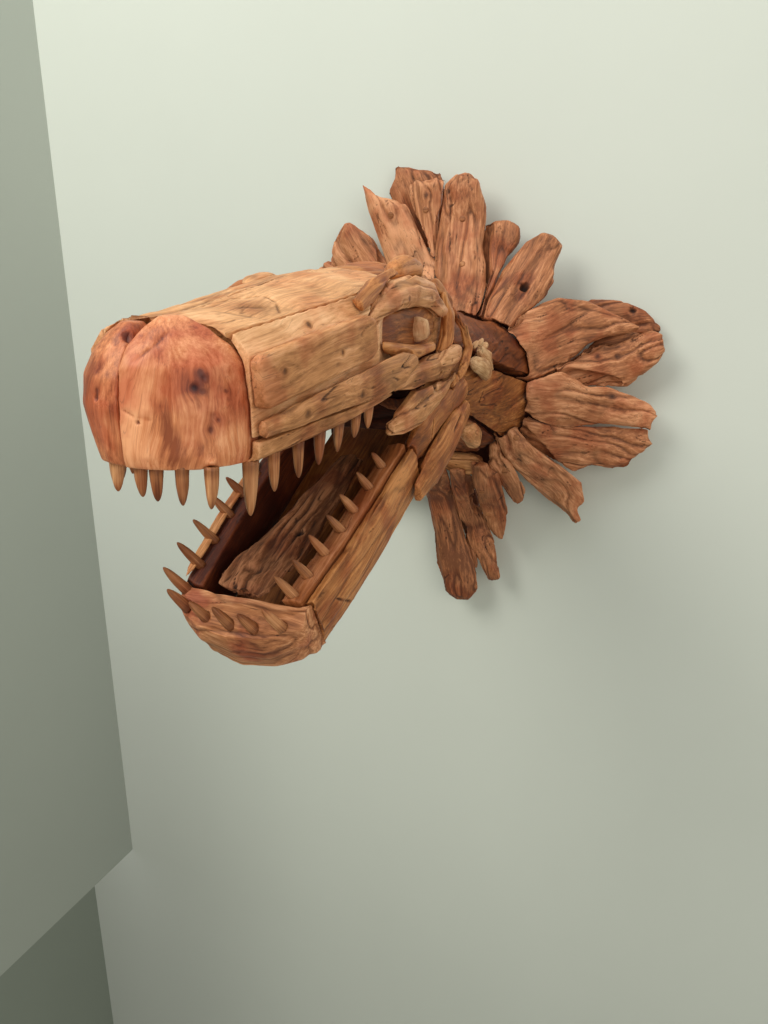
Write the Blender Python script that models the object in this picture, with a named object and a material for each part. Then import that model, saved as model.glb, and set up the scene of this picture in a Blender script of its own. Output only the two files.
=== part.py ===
"""Dinosaur head wall sculpture, pieced together from reclaimed root wood.

Millimetres inside, metres in the scene. The wall is the plane y = 0, the head
points along -Y, +Z is up, and the head's mid-plane is x = 0. The origin is on
the back of the backing board.
"""

import math

import bmesh
import bpy
import numpy as np

# Named sizes
TO_METRES = 0.001
FIT_GAP = 0.8          # clearance cut round a piece where its neighbour nests

# Head, measured along y from the wall
SNOUT_FRONT = -990.0
DRAWN_FRONT = -990.0   # where the front was when the stations below were laid out
EYE_FRONT = -640.0     # forward of this the head stretches with SNOUT_FRONT
SNOUT_SEAM = -5.0     # the joint between the two front blocks, off the middle
SNOUT_WIDTH = 78.0     # half width of the front blocks
SNOUT_TOP = 183.0
SNOUT_BOTTOM = 64.0
SNOUT_DEPTH = 58.0     # how far the front blocks reach back

HEAD_Y = (-940.0, -840.0, -740.0, -640.0, -480.0, -400.0)
HEAD_HALF = (81.0, 88.0, 97.0, 101.0, 99.0, 88.0)
RIDGE_Y = (-950.0, -878.0, -800.0, -722.0, -640.0, -534.0, -404.0)
RIDGE_Z = (182.0, 187.0, 202.0, 215.0, 221.0, 226.0, 214.0)
EDGE_Y = (-950.0, -931.0, -836.0, -714.0, -640.0)
EDGE_X = (62.0, 66.0, 75.0, 85.0, 88.0)
EDGE_Z = (168.0, 170.0, 182.0, 198.0, 206.0)
LIP_Y = (-940.0, -850.0, -760.0, -690.0)
LIP_Z = (63.0, 66.0, 73.0, 83.0)
TOP_THICK = 22.0
ROOF_SETBACK = 55.0    # from the snout's front to the front end of the roof planks
SIDE_THICK = 14.0
PLATE_THICK = 12.0
PLATE_LENGTH = (-930.0, -742.0)

# Upper teeth: y of each side tooth and its length
UPPER_SIDE_TEETH = (
    (-893.0, 33.0), (-855.0, 31.0), (-819.0, 29.0),
    (-785.0, 26.0), (-752.0, 21.0), (-725.0, 20.0),
)
# x, y and length of each front tooth, then the near corner tooth
UPPER_FRONT_TEETH = {
    1: ((2.0, -974.0, 25.0), (20.0, -977.0, 26.0), (41.0, -972.0, 28.0), (63.0, -963.0, 31.0)),
    -1: ((-27.0, -968.0, 25.0), (-46.0, -950.0, 26.0), (-60.0, -928.0, 28.0)),
}
CORNER_TOOTH = (74.0, -925.0, 46.0)
TOOTH_RADIUS = 5.8

# Lower jaw, in its own frame: s runs forward along the jaw, t is up from it
JAW_ORIGIN = (-600.0, 20.0)
JAW_DROP = 26.6
JAW_S = (-20.0, 150.0, 292.0)
JAW_HALF = (98.0, 91.0, 76.0)
JAW_LENGTH = 292.0
JAW_WALL = 74.0
JAW_SKIN = 12.0
RAIL_WIDTH = 25.0
FLOOR_THICK = 11.0
CHIN_FRONT = 320.0
# s and length of each side peg, then x, s and length of each front one
LOWER_NEAR_TEETH = (
    (258.0, 30.0), (230.0, 26.0), (196.0, 28.0), (160.0, 25.0),
    (128.0, 26.0), (88.0, 24.0), (50.0, 22.0),
)
LOWER_FAR_TEETH = (
    (238.0, 33.0), (200.0, 31.0), (158.0, 29.0), (122.0, 26.0), (84.0, 24.0), (46.0, 22.0),
)
LOWER_FRONT_TEETH = (
    (-70.0, 272.0, 36.0), (-58.0, 292.0, 28.0), (-29.0, 300.0, 24.0),
    (1.0, 303.0, 26.0), (27.0, 301.0, 22.0), (56.0, 294.0, 28.0),
)
TOOTH_LEAN = 0.42      # all the lower pegs lean to the far side

# Neck
NECK_Y = (-440.0, -330.0, -220.0, -130.0)
NECK_CENTRE_Z = (104.0, 78.0, 46.0, 18.0)
NECK_RADIUS = (80.0, 88.0, 102.0, 122.0)
NECK_THICK = 20.0
NECK_STAVES = (
    ("neck_root_near_upper", 10.0, 63.0, 10.0),
    ("neck_root_near_lower", -48.0, 8.0, 4.0),
    ("neck_root_under", -122.0, -50.0, -4.0),
    ("neck_root_far", 146.0, 236.0, 0.0),
    ("neck_root_top", 65.0, 144.0, 2.0),
)

# Frill
BOARD_RADIUS = 178.0
BOARD_THICK = 32.0
FRILL_RISE = 100.0     # how far the petals' inner ends climb up the neck
RISE_FLAT = 100.0
PETAL_WIDEN = 1.25
RISE_FOOT = 270.0
# name: (height over the wall, half thickness, ((x, z, half width), ...))
PETALS = (
    ("petal_left_pointed", 58.0, 15.0, ((-100.0, 150.0, 34.0), (-126.0, 216.0, 47.0),
     (-158.0, 292.0, 42.0), (-196.0, 342.0, 23.0), (-229.0, 371.0, 4.0))),
    ("petal_top_tall", 58.0, 17.0, ((-16.0, 132.0, 38.0), (-23.0, 194.0, 48.0),
     (-27.0, 297.0, 41.0), (-30.0, 362.0, 32.0), (-25.0, 382.0, 16.0))),
    ("petal_hooked_log", 66.0, 22.0, ((66.0, 128.0, 24.0), (77.0, 155.0, 33.0),
     (100.0, 207.0, 38.0), (122.0, 250.0, 25.0), (131.0, 268.0, 21.0))),
    ("petal_right_upper_leaf", 58.0, 18.0, ((84.0, 64.0, 34.0), (102.0, 79.0, 46.0),
     (158.0, 121.0, 54.0), (226.0, 130.0, 37.0), (288.0, 122.0, 7.0))),
    ("petal_right_fold_upper", 56.0, 16.0, ((91.0, 4.0, 10.0), (128.0, 10.0, 30.0),
     (172.0, 12.0, 40.0), (241.0, -2.0, 38.0), (326.0, -26.0, 20.0))),
    ("petal_lower_right_stick", 56.0, 17.0, ((84.0, -38.0, 19.0), (112.0, -80.0, 27.0),
     (138.0, -118.0, 31.0), (177.0, -170.0, 37.0), (200.0, -237.0, 9.0))),
    ("petal_bottom_main", 52.0, 16.0, ((-52.0, -134.0, 24.0), (-52.0, -202.0, 28.0),
     (-31.0, -308.0, 33.0), (-16.0, -396.0, 36.0), (-8.0, -430.0, 20.0))),
    ("petal_top_knotty", 56.0, 14.0, ((-84.0, 222.0, 12.0), (-91.0, 276.0, 20.0),
     (-97.0, 318.0, 30.0), (-100.0, 362.0, 31.0), (-108.0, 388.0, 9.0))),
    ("petal_left_fan", 50.0, 15.0, ((-164.0, 148.0, 30.0), (-214.0, 208.0, 38.0),
     (-248.0, 262.0, 42.0), (-263.0, 299.0, 16.0))),
    ("petal_upper_burl", 52.0, 16.0, ((33.0, 134.0, 12.0), (34.0, 190.0, 16.0),
     (36.0, 242.0, 27.0), (40.0, 277.0, 35.0), (44.0, 300.0, 18.0))),
    ("petal_right_upper_low", 46.0, 16.0, ((128.0, 36.0, 22.0), (184.0, 52.0, 37.0),
     (259.0, 63.0, 41.0), (310.0, 90.0, 27.0), (332.0, 101.0, 14.0))),
    ("petal_right_fold_lower", 46.0, 16.0, ((98.0, -24.0, 14.0), (128.0, -44.0, 27.0),
     (168.0, -66.0, 34.0), (241.0, -90.0, 42.0), (322.0, -72.0, 17.0))),
    ("petal_lower_leaf", 56.0, 15.0, ((42.0, -112.0, 16.0), (43.0, -140.0, 24.0),
     (50.0, -210.0, 29.0), (57.0, -288.0, 11.0))),
    ("petal_orange_wedge", 50.0, 14.0, ((72.0, -70.0, 13.0), (84.0, -104.0, 22.0),
     (95.0, -142.0, 22.0), (103.0, -190.0, 14.0))),
    ("petal_bottom_stick", 48.0, 13.0, ((-16.0, -134.0, 26.0), (-8.0, -168.0, 29.0),
     (8.0, -266.0, 24.0), (51.0, -372.0, 16.0))),
    ("petal_bottom_sliver", 50.0, 12.0, ((-76.0, -164.0, 9.0), (-80.0, -222.0, 11.0),
     (-69.0, -283.0, 13.0), (-53.0, -333.0, 7.0))),
    ("petal_left_upper", 44.0, 15.0, ((-120.0, 92.0, 30.0), (-160.0, 124.0, 44.0),
     (-226.0, 146.0, 48.0), (-296.0, 196.0, 36.0), (-322.0, 226.0, 15.0))),
    ("petal_left_middle", 54.0, 17.0, ((-104.0, 10.0, 30.0), (-160.0, 22.0, 46.0),
     (-236.0, 40.0, 46.0), (-300.0, 62.0, 30.0), (-326.0, 76.0, 12.0))),
    ("petal_left_lower", 50.0, 17.0, ((-86.0, -74.0, 32.0), (-124.0, -118.0, 48.0),
     (-170.0, -158.0, 48.0), (-218.0, -196.0, 26.0), (-236.0, -212.0, 9.0))),
    ("petal_top_back_board", 24.0, 9.0, ((-96.0, 262.0, 24.0), (-110.0, 301.0, 30.0),
     (-133.0, 362.0, 50.0), (-128.0, 397.0, 33.0))),
    ("petal_right_back_board", 26.0, 10.0, ((144.0, 112.0, 22.0), (206.0, 138.0, 29.0),
     (270.0, 139.0, 30.0), (318.0, 122.0, 16.0))),
)

# wood: (linear colour, roughness, the pieces made of it by the start of their names)
WOODS = {
    "red_brown_wood": ((0.40, 0.125, 0.040), 0.50, ("snout_block",)),
    "tan_wood": ((0.42, 0.205, 0.080), 0.62, (
        "top_plank", "side_board", "lip_plank", "lower_plank", "brow", "crown", "eye",
        "lower_lid", "rear_rim", "cheek", "jaw_side", "chin", "hinge")),
    "rail_wood": ((0.36, 0.130, 0.055), 0.60, ("jaw_rail",)),
    "dark_wood": ((0.060, 0.022, 0.012), 0.70, ("jaw_floor", "palate", "backing")),
    "grey_root_wood": ((0.20, 0.105, 0.060), 0.80, ("tongue",)),
    "pale_wood": ((0.50, 0.330, 0.160), 0.80, ("pale_burl",)),
    "neck_wood": ((0.20, 0.075, 0.030), 0.65, ("neck",)),
    "frill_wood": ((0.34, 0.130, 0.060), 0.68, ("petal",)),
}

BUILT = {}


# Mesh helpers
def add_mesh(name, points, faces):
    """Make one object from points in millimetres; faces are turned to look out."""
    points = np.asarray(points, float)
    faces = np.asarray(faces, int)
    tri = points[faces]
    if np.einsum("ij,ij->i", tri[:, 0], np.cross(tri[:, 1], tri[:, 2])).sum() < 0:
        faces = faces[:, ::-1]
    mesh = bpy.data.meshes.new(name)
    mesh.from_pydata((points * TO_METRES).tolist(), [], faces.tolist())
    mesh.update()
    obj = bpy.data.objects.new(name, mesh)
    bpy.context.scene.collection.objects.link(obj)
    return obj


def loft(name, sections, bulge=0.0):
    """Skin a row of closed sections with the same number of points, capped by fans."""
    sections = np.asarray(sections, float)
    rows, sides, _ = sections.shape
    points = sections.reshape(-1, 3).tolist()
    faces = []
    for r in range(rows - 1):
        for c in range(sides):
            a = r * sides + c
            b = r * sides + (c + 1) % sides
            d = a + sides
            e = b + sides
            if (r + c) % 2:
                faces += [(a, b, e), (a, e, d)]
            else:
                faces += [(a, b, d), (b, e, d)]
    ends = ((0, 1, 1), (rows - 1, rows - 2, -1))
    for row, inner, turn in ends:
        middle = sections[row].mean(axis=0)
        away = middle - sections[inner].mean(axis=0)
        length = np.linalg.norm(away)
        away = away / length if length > 1e-6 else away
        points.append((middle + away * bulge).tolist())
        centre = len(points) - 1
        for c in range(sides):
            a = row * sides + c
            b = row * sides + (c + 1) % sides
            faces.append((centre, b, a) if turn > 0 else (centre, a, b))
    return add_mesh(name, points, faces)


def root_piece(name, stations, across, sides=8, power=2.7, rough=0.05, seed=1, bulge=2.0):
    """A split root: an oval section swept along stations.

    Each station is (x, y, z, half width, half thickness); across is the
    direction in which the width is laid.
    """
    random = np.random.default_rng(seed)
    stations = np.asarray(stations, float)
    centres = stations[:, :3]
    across = np.asarray(across, float)
    tangents = np.gradient(centres, axis=0)
    sections = []
    for i, centre in enumerate(centres):
        along = tangents[i] / np.linalg.norm(tangents[i])
        wide = across - along * across.dot(along)
        wide = wide / np.linalg.norm(wide)
        deep = np.cross(along, wide)
        section = []
        for k in range(sides):
            angle = 2 * math.pi * (k + 0.5) / sides
            c, s = math.cos(angle), math.sin(angle)
            reach = (abs(c) ** power + abs(s) ** power) ** (-1 / power)
            reach *= 1 + rough * random.uniform(-1, 1)
            section.append(
                centre
                + wide * (c * reach * stations[i, 3])
                + deep * (s * reach * stations[i, 4])
            )
        sections.append(section)
    return loft(name, sections, bulge)


def peg(foot, tip, radius, sides=5):
    """A whittled tooth as (points, faces), sunk at its foot and blunt at its tip."""
    foot, tip = np.asarray(foot, float), np.asarray(tip, float)
    along = (tip - foot) / np.linalg.norm(tip - foot)
    wide = np.cross(along, (0.31, 0.17, 0.93) if abs(along[2]) < 0.9 else (0.9, 0.3, 0.1))
    wide /= np.linalg.norm(wide)
    deep = np.cross(along, wide)
    points, faces = [], []
    profile = ((0.0, 1.0), (0.55, 1.0), (0.95, 0.36))
    for share, size in profile:
        centre = foot + (tip - foot) * share
        for k in range(sides):
            angle = 2 * math.pi * k / sides
            points.append(
                centre
                + radius * size * (wide * math.cos(angle) + deep * math.sin(angle))
            )
    for r in range(len(profile) - 1):
        for k in range(sides):
            a, b = r * sides + k, r * sides + (k + 1) % sides
            faces += [(a, b, b + sides), (a, b + sides, a + sides)]
    points += [foot, tip]
    last = (len(profile) - 1) * sides
    for k in range(sides):
        a, b = k, (k + 1) % sides
        faces += [(len(points) - 2, b, a), (len(points) - 1, last + a, last + b)]
    return points, faces


def evaluated_copy(obj):
    """The object's mesh with its modifiers in it."""
    bpy.context.view_layer.update()
    graph = bpy.context.evaluated_depsgraph_get()
    return bpy.data.meshes.new_from_object(obj.evaluated_get(graph), depsgraph=graph)


def keep_largest(mesh):
    """Drop the chips that a cut has parted from the main body."""
    work = bmesh.new()
    work.from_mesh(mesh)
    bmesh.ops.remove_doubles(work, verts=work.verts, dist=2e-6)
    bmesh.ops.triangulate(work, faces=work.faces)
    seen = set()
    islands = []
    for face in work.faces:
        if face in seen:
            continue
        stack, island = [face], []
        seen.add(face)
        while stack:
            here = stack.pop()
            island.append(here)
            for edge in here.edges:
                for other in edge.link_faces:
                    if other not in seen:
                        seen.add(other)
                        stack.append(other)
        islands.append(island)
    islands.sort(key=lambda group: sum(f.calc_area() for f in group))
    for island in islands[:-1]:
        bmesh.ops.delete(work, geom=island, context="FACES")
    loose = [v for v in work.verts if not v.link_faces]
    bmesh.ops.delete(work, geom=loose, context="VERTS")
    work.to_mesh(mesh)
    work.free()


def boolean(obj, other, operation):
    """Apply one Boolean and put its result in the object.

    The closed, slightly irregular roots lose whole pieces under the EXACT
    solver, so the fits are cut with the MANIFOLD one.
    """
    other.hide_render = True
    other.display_type = "WIRE"
    cut = obj.modifiers.new("fit", "BOOLEAN")
    cut.operation = operation
    cut.solver = "MANIFOLD"
    cut.object = other
    made = evaluated_copy(obj)
    obj.modifiers.clear()
    old = obj.data
    obj.data = made
    bpy.data.meshes.remove(old)


def fuse_pegs(obj, pegs):
    """Join whittled teeth to the piece that they are driven into."""
    for points, faces in pegs:
        tooth = add_mesh("tooth", points, faces)
        boolean(obj, tooth, "UNION")
        bpy.data.objects.remove(tooth)
    keep_largest(obj.data)


def grown(obj, gap):
    """A copy whose faces all stand the gap outside the piece."""
    mesh = obj.data.copy()
    count = len(mesh.vertices)
    points = np.empty(count * 3)
    mesh.vertices.foreach_get("co", points)
    points = points.reshape(-1, 3)
    mesh.calc_loop_triangles()
    corners = np.empty(len(mesh.loop_triangles) * 3, int)
    mesh.loop_triangles.foreach_get("vertices", corners)
    corners = corners.reshape(-1, 3)
    tri = points[corners]
    normals = np.cross(tri[:, 1] - tri[:, 0], tri[:, 2] - tri[:, 0])
    areas = np.linalg.norm(normals, axis=1)
    whole = areas > 1e-10
    normals[whole] /= areas[whole, None]
    normals[~whole] = 0
    # Each corner moves so that every face that meets there moves out by the gap.
    matrix = np.zeros((count, 3, 3)) + np.eye(3) * 0.03
    target = np.zeros((count, 3))
    for k in range(3):
        np.add.at(matrix, corners[:, k], normals[:, :, None] * normals[:, None, :])
        np.add.at(target, corners[:, k], normals * gap * TO_METRES)
    moves = np.linalg.solve(matrix, target[:, :, None])[:, :, 0]
    lengths = np.linalg.norm(moves, axis=1)
    limit = 2.5 * gap * TO_METRES
    moves *= np.minimum(1, limit / np.maximum(lengths, 1e-12))[:, None]
    mesh.vertices.foreach_set("co", (points + moves).ravel())
    mesh.update()
    copy = bpy.data.objects.new("grown", mesh)
    bpy.context.scene.collection.objects.link(copy)
    return copy


def box_of(obj):
    """The lowest and highest corners of the piece, in metres."""
    count = len(obj.data.vertices)
    points = np.empty(count * 3)
    obj.data.vertices.foreach_get("co", points)
    points = points.reshape(-1, 3)
    return points.min(axis=0), points.max(axis=0)


def place(obj):
    """Cut the piece to nest against those already placed, then keep it."""
    low, high = box_of(obj)
    reach = FIT_GAP * TO_METRES
    for other in list(BUILT.values()):
        other_low, other_high = box_of(other)
        if np.any(low > other_high + reach) or np.any(high < other_low - reach):
            continue
        cutter = grown(other, FIT_GAP)
        boolean(obj, cutter, "DIFFERENCE")
        bpy.data.objects.remove(cutter)
    keep_largest(obj.data)
    BUILT[obj.name] = obj
    return obj


# Head shape
def forward(y):
    """Where a station lies once the snout has its length."""
    if y >= EYE_FRONT:
        return float(y)
    return EYE_FRONT + (y - EYE_FRONT) * ((SNOUT_FRONT - EYE_FRONT) / (DRAWN_FRONT - EYE_FRONT))


def head_half(y):
    """Half the width of the head."""
    return float(np.interp(y, HEAD_Y, HEAD_HALF))


def ridge(y):
    """Height of the line along the top of the snout."""
    return float(np.interp(y, RIDGE_Y, RIDGE_Z))


def edge(y):
    """Where the roof planks meet the side rail: (x, z)."""
    return float(np.interp(y, EDGE_Y, EDGE_X)), float(np.interp(y, EDGE_Y, EDGE_Z))


def lip(y):
    """Height of the upper jaw's lower edge."""
    return float(np.interp(y, LIP_Y, LIP_Z))


def sided(points, side):
    """Mirror points to the far side when side is -1."""
    out = np.array(points, float)
    out[..., 0] *= side
    return out


def snout_block(name, side):
    """Half of the blunt front: a thick block, domed in front and rounded on top.

    Each row is (share of the height, how far its face sits back, share of the
    width, how far its edge at the seam is rounded away, how far its rear is cut forward).
    """
    sections = []
    near_rows = ((0.0, 3.0, 0.97, 0.0, 0.0), (0.10, 0.0, 1.0, 0.0, 0.0),
                 (0.42, 2.0, 1.0, 0.0, 0.0), (0.68, 6.0, 0.96, 0.0, 8.0),
                 (0.81, 14.0, 0.85, 2.0, 18.0), (0.92, 24.0, 0.66, 10.0, 27.0),
                 (1.0, 36.0, 0.44, 18.0, 32.0))
    far_rows = ((0.0, 8.0, 0.80, 0.0, 0.0), (0.10, 5.0, 0.84, 0.0, 0.0),
                (0.40, 2.0, 0.97, 0.0, 0.0), (0.60, 7.0, 0.95, 0.0, 4.0),
                (0.76, 17.0, 0.84, 0.0, 12.0), (0.88, 29.0, 0.67, 3.0, 20.0),
                (0.955, 40.0, 0.48, 8.0, 26.0))
    for share, back, wide, inset, cut in near_rows if side > 0 else far_rows:
        inner = SNOUT_SEAM * side + 0.4 + inset
        z = SNOUT_BOTTOM + (SNOUT_TOP - SNOUT_BOTTOM) * share
        w = SNOUT_WIDTH * wide
        rear = SNOUT_FRONT + SNOUT_DEPTH + 24 - cut
        section = []
        for across, depth in ((0.0, 0.0), (0.3, 1.5), (0.58, 9.0), (0.8, 22.0), (0.94, 38.0)):
            front = SNOUT_FRONT + back * (1 - 0.4 * across) + depth
            section.append((inner + (w - inner) * across, min(front, rear - 6), z))
        section.append((w, min(SNOUT_FRONT + 55.0, rear - 4), z))
        section.append((w - 3.0, rear, z))
        section.append((inner + (w - inner) * 0.45, rear, z))
        section.append((inner, rear, z))
        sections.append(section)
    obj = loft(name, sided(sections, side), 1.0)
    pegs = []
    for x, y, length in UPPER_FRONT_TEETH[side]:
        y = SNOUT_FRONT + y - DRAWN_FRONT
        pegs.append(peg((x, y, SNOUT_BOTTOM + 9), (x, y - 2, SNOUT_BOTTOM - length), TOOTH_RADIUS))
    fuse_pegs(obj, pegs)
    return obj


def top_plank(name, side):
    """Half of the roof of the snout, sloping from the ridge to the side rail."""
    sections = []
    stations = [(DRAWN_FRONT + ROOF_SETBACK, SNOUT_FRONT + ROOF_SETBACK)]
    stations += [(y, forward(y)) for y in (-880.0, -800.0, -714.0, -655.0, -632.0)]
    for y, at in stations:
        x, z = edge(y)
        top = ridge(y)
        thick = TOP_THICK
        sections.append((
            (0.5, at, top), (x * 0.5, at, (top + z) / 2 + 3.0), (x - 0.5, at, z),
            (x - 6, at, z - thick), (x * 0.5, at, (top + z) / 2 - thick), (0.5, at, top - thick),
        ))
    return loft(name, sided(sections, side), 2.0)


def side_board(name, side, teeth):
    """The rail under the roof with the board that the plates are laid on, on to behind the eye."""
    sections = []
    for y in (-930.0, -836.0, -714.0, -672.0, -560.0, -445.0):
        x, z = edge(y)
        half = head_half(y)
        if y > -680:
            back = (y + 672) / 227
            half -= 14
            z -= 12 + 14 * back
            x = half - 8
        foot = lip(y) + (0 if teeth else 21) + (14 if y > -680 else 0)
        wall = SIDE_THICK * (1.5 if teeth and y < -680 else 1.0)
        at = forward(y)
        sections.append((
            (x + 0.3, at, z - 0.3), (half + 1, at, z - 19), (half, at, z - 30), (half, at, foot),
            (half - wall, at, foot), (half - SIDE_THICK, at, z - 32), (x - 6, at, z - 16),
        ))
    obj = loft(name, sided(sections, side), 1.0)
    fuse_pegs(obj, side_teeth(side, teeth))
    return obj


def side_teeth(side, teeth):
    """The pegs driven into the edge of the upper jaw."""
    pegs = []
    for y, length in teeth:
        x = side * (head_half(y) - 7)
        foot = lip(y)
        radius = TOOTH_RADIUS * (0.78 + length / 170)
        at = forward(y)
        pegs.append(peg((x, at, foot + 9), (x, at - 3, foot - length), radius))
    return pegs


def cheek_plate(name, side):
    """The broad rounded plate on the side of the snout; the far one is shorter and thinner."""
    start, end = PLATE_LENGTH
    start += 0.0 if side > 0 else 24.0
    proud = PLATE_THICK * (1.0 if side > 0 else 0.66)
    sections = []
    ends = ((0.0, 0.82), (0.04, 1.0), (0.35, 1.02), (0.7, 1.0), (0.94, 0.98), (1.0, 0.78))
    for share, shrink in ends:
        y = start + (end - start) * share
        at = forward(y)
        middle = 129.0 + 26.0 * share
        tall = 22.5 * shrink
        face = head_half(y) + 0.9
        out = face + proud
        sections.append((
            (face, at, middle - tall), (out - 3, at + 3, middle - tall),
            (out, at + 2, middle - tall + 4), (out, at - 3, middle + tall - 4),
            (out - 3, at - 4, middle + tall), (face, at - 4, middle + tall),
        ))
    return loft(name, sided(sections, side), 1.0)


def lower_plank(name, side):
    """The long spindle of wood between the cheek plate and the lip."""
    stations = []
    for y, z, half in ((-928, 92, 9), (-885, 96, 12), (-836, 101, 14), (-776, 106, 17),
                       (-714, 110, 21), (-668, 116, 19), (-640, 121, 9)):
        stations.append((side * (head_half(y) + 7.5), forward(y), z, half, 6.5))
    return root_piece(name, stations, (0, 0, 1), rough=0.04, seed=21)


def lip_plank(name, side, teeth):
    """The lower edge of the upper jaw, with the side teeth driven in from below."""
    sections = []
    heights = ((-929.0, 20.0), (-885.0, 19.0), (-836.0, 20.0),
               (-776.0, 17.0), (-714.0, 14.0), (-688.0, 9.0))
    for y, tall in heights:
        half = head_half(y)
        foot = lip(y)
        at = forward(y)
        sections.append((
            (half - 22, at, foot + 1), (half - 4, at, foot), (half + 4, at, foot + 5),
            (half + 5, at, foot + tall - 1), (half - 2, at, foot + tall),
            (half - 22, at, foot + tall),
        ))
    obj = loft(name, sided(sections, side), 1.0)
    pegs = side_teeth(side, teeth)
    x, y, length = CORNER_TOOTH
    y = SNOUT_FRONT + y - DRAWN_FRONT
    tip = (x, y - 4, SNOUT_BOTTOM - length)
    pegs.append(peg((x, y, SNOUT_BOTTOM + 9), tip, TOOTH_RADIUS * 1.2))
    fuse_pegs(obj, pegs)
    return obj


def crown():
    """The rounded cap over the back of the skull."""
    sections = []
    rows = ((-650, 62, 219, 196), (-600, 72, 225, 192), (-534, 78, 231, 186),
            (-480, 80, 227, 178), (-425, 74, 208, 166), (-396, 60, 186, 158))
    for y, half, top, side_z in rows:
        section = []
        for angle in (0, 40, 90, 140, 180):
            a = math.radians(angle)
            section.append((half * math.cos(a), y, side_z + (top - side_z) * math.sin(a) ** 0.8))
        section.append((-half * 0.5, y, side_z - 6))
        section.append((half * 0.5, y, side_z - 6))
        sections.append(section)
    return loft("crown", sections, 3.0)


def palate():
    """The dark board that closes the roof of the mouth."""
    sections = []
    for y in (-925.0, -836.0, -740.0, -640.0, -540.0, -470.0):
        half = head_half(y) - 24
        z = float(np.interp(y, (-925, -640, -470), (80, 96, 78)))
        at = forward(y)
        sections.append((
            (-half, at, z), (0, at, z + 6), (half, at, z),
            (half, at, z + 9), (0, at, z + 15), (-half, at, z + 9),
        ))
    return loft("palate_board", sections, 1.0)


def jaw_point(x, s, t):
    """A point of the lower jaw's own frame in the part's frame."""
    a = math.radians(JAW_DROP)
    y = JAW_ORIGIN[0] - s * math.cos(a) - t * math.sin(a)
    z = JAW_ORIGIN[1] - s * math.sin(a) + t * math.cos(a)
    return (x, y, z)


def jaw_half(s):
    """Half the width of the lower jaw."""
    return float(np.interp(s, JAW_S, JAW_HALF))


def chin_block():
    """The curved front of the lower jaw with its six pegs."""
    sections = []
    for share in (-1.0, -0.82, -0.5, 0.0, 0.5, 0.82, 1.0):
        x = (jaw_half(JAW_LENGTH) + 1) * share
        front = CHIN_FRONT - 30 * abs(share) ** 2.4
        rear = min(268.0, front - 30)
        low = -JAW_WALL - 3 + 8 * abs(share) ** 2
        sections.append([jaw_point(x, s, t) for s, t in (
            (rear, -3), (front - 18, -2), (front - 3, -12), (front, -34), (front - 8, low + 8),
            (front - 22, low), (rear, low), (rear, -24),
        )])
    obj = loft("chin_block", sections, 1.0)
    pegs = []
    for x, s, length in LOWER_FRONT_TEETH:
        tip = jaw_point(x - TOOTH_LEAN * length, s + 3, 0.92 * length - 6)
        pegs.append(peg(jaw_point(x + 4, s, -15), tip, TOOTH_RADIUS))
    fuse_pegs(obj, pegs)
    return obj


def jaw_side(name, side, start, teeth):
    """The outer wall plank of the lower jaw; the far one is thicker and carries its teeth."""
    skin = JAW_SKIN + (14 if teeth else 0)
    sections = []
    for s in (start, 40.0, 110.0, 180.0, 240.0, 266.0):
        half = jaw_half(s)
        sections.append([jaw_point(side * x, s, t) for x, t in (
            (half - skin, -4), (half - 2, -3), (half + 1, -14), (half, -48),
            (half - 8, -JAW_WALL - 2), (half - skin, -JAW_WALL - 2),
        )])
    obj = loft(name, sections, 1.0)
    pegs = []
    for s, length in teeth:
        x = jaw_half(s) - 8
        radius = TOOTH_RADIUS * (0.8 + length / 170)
        tip = jaw_point(side * x - TOOTH_LEAN * length, s + 3, 0.92 * length)
        pegs.append(peg(jaw_point(side * x + 4, s, -12), tip, radius))
    fuse_pegs(obj, pegs)
    return obj


def jaw_rail(name, side, teeth):
    """The inner rail that carries the side teeth of the lower jaw."""
    sections = []
    for s in (6.0, 60.0, 110.0, 180.0, 240.0, 267.0):
        outer = jaw_half(s) - JAW_SKIN - 0.5
        inner = outer - RAIL_WIDTH
        sections.append([jaw_point(side * x, s, t) for x, t in (
            (outer, 0), (outer - 9, 2), (inner, -3), (inner + 6, -18),
            (outer - 8, -JAW_WALL + FLOOR_THICK + 2), (outer, -JAW_WALL + FLOOR_THICK + 2),
        )])
    obj = loft(name, sections, 1.0)
    pegs = []
    for s, length in teeth:
        x = side * (jaw_half(s) - JAW_SKIN - 12)
        radius = TOOTH_RADIUS * (0.8 + length / 170)
        tip = jaw_point(x - TOOTH_LEAN * length, s + 3, 0.92 * length)
        pegs.append(peg(jaw_point(x + 4, s, -12), tip, radius))
    fuse_pegs(obj, pegs)
    return obj


def jaw_floor():
    """The flat board in the bottom of the lower jaw, running back under the throat."""
    sections = []
    for s in (-98.0, 0.0, 90.0, 180.0, 266.0):
        half = jaw_half(s) - JAW_SKIN - 0.8
        low = -JAW_WALL - 1
        sections.append([jaw_point(x, s, t) for x, t in (
            (14 - half, low), (half, low), (half, low + FLOOR_THICK), (14 - half, low + FLOOR_THICK))])
    return loft("jaw_floor", sections, 1.0)


def tongue():
    """The weathered root that lies in the mouth."""
    rows = ((2, -34, 20, 11, 4), (60, -31, 26, 13, 2), (120, -26, 30, 13, -2),
            (180, -17, 37, 12, -3), (222, -9, 38, 9, -6), (250, -4, 35, 8, -9), (267, -6, 27, 6, -14))
    stations = [(*jaw_point(x, s, t), wide, thick) for s, t, wide, thick, x in rows]
    return root_piece("tongue_root", stations, (1, 0, 0), rough=0.09, seed=31)


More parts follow.
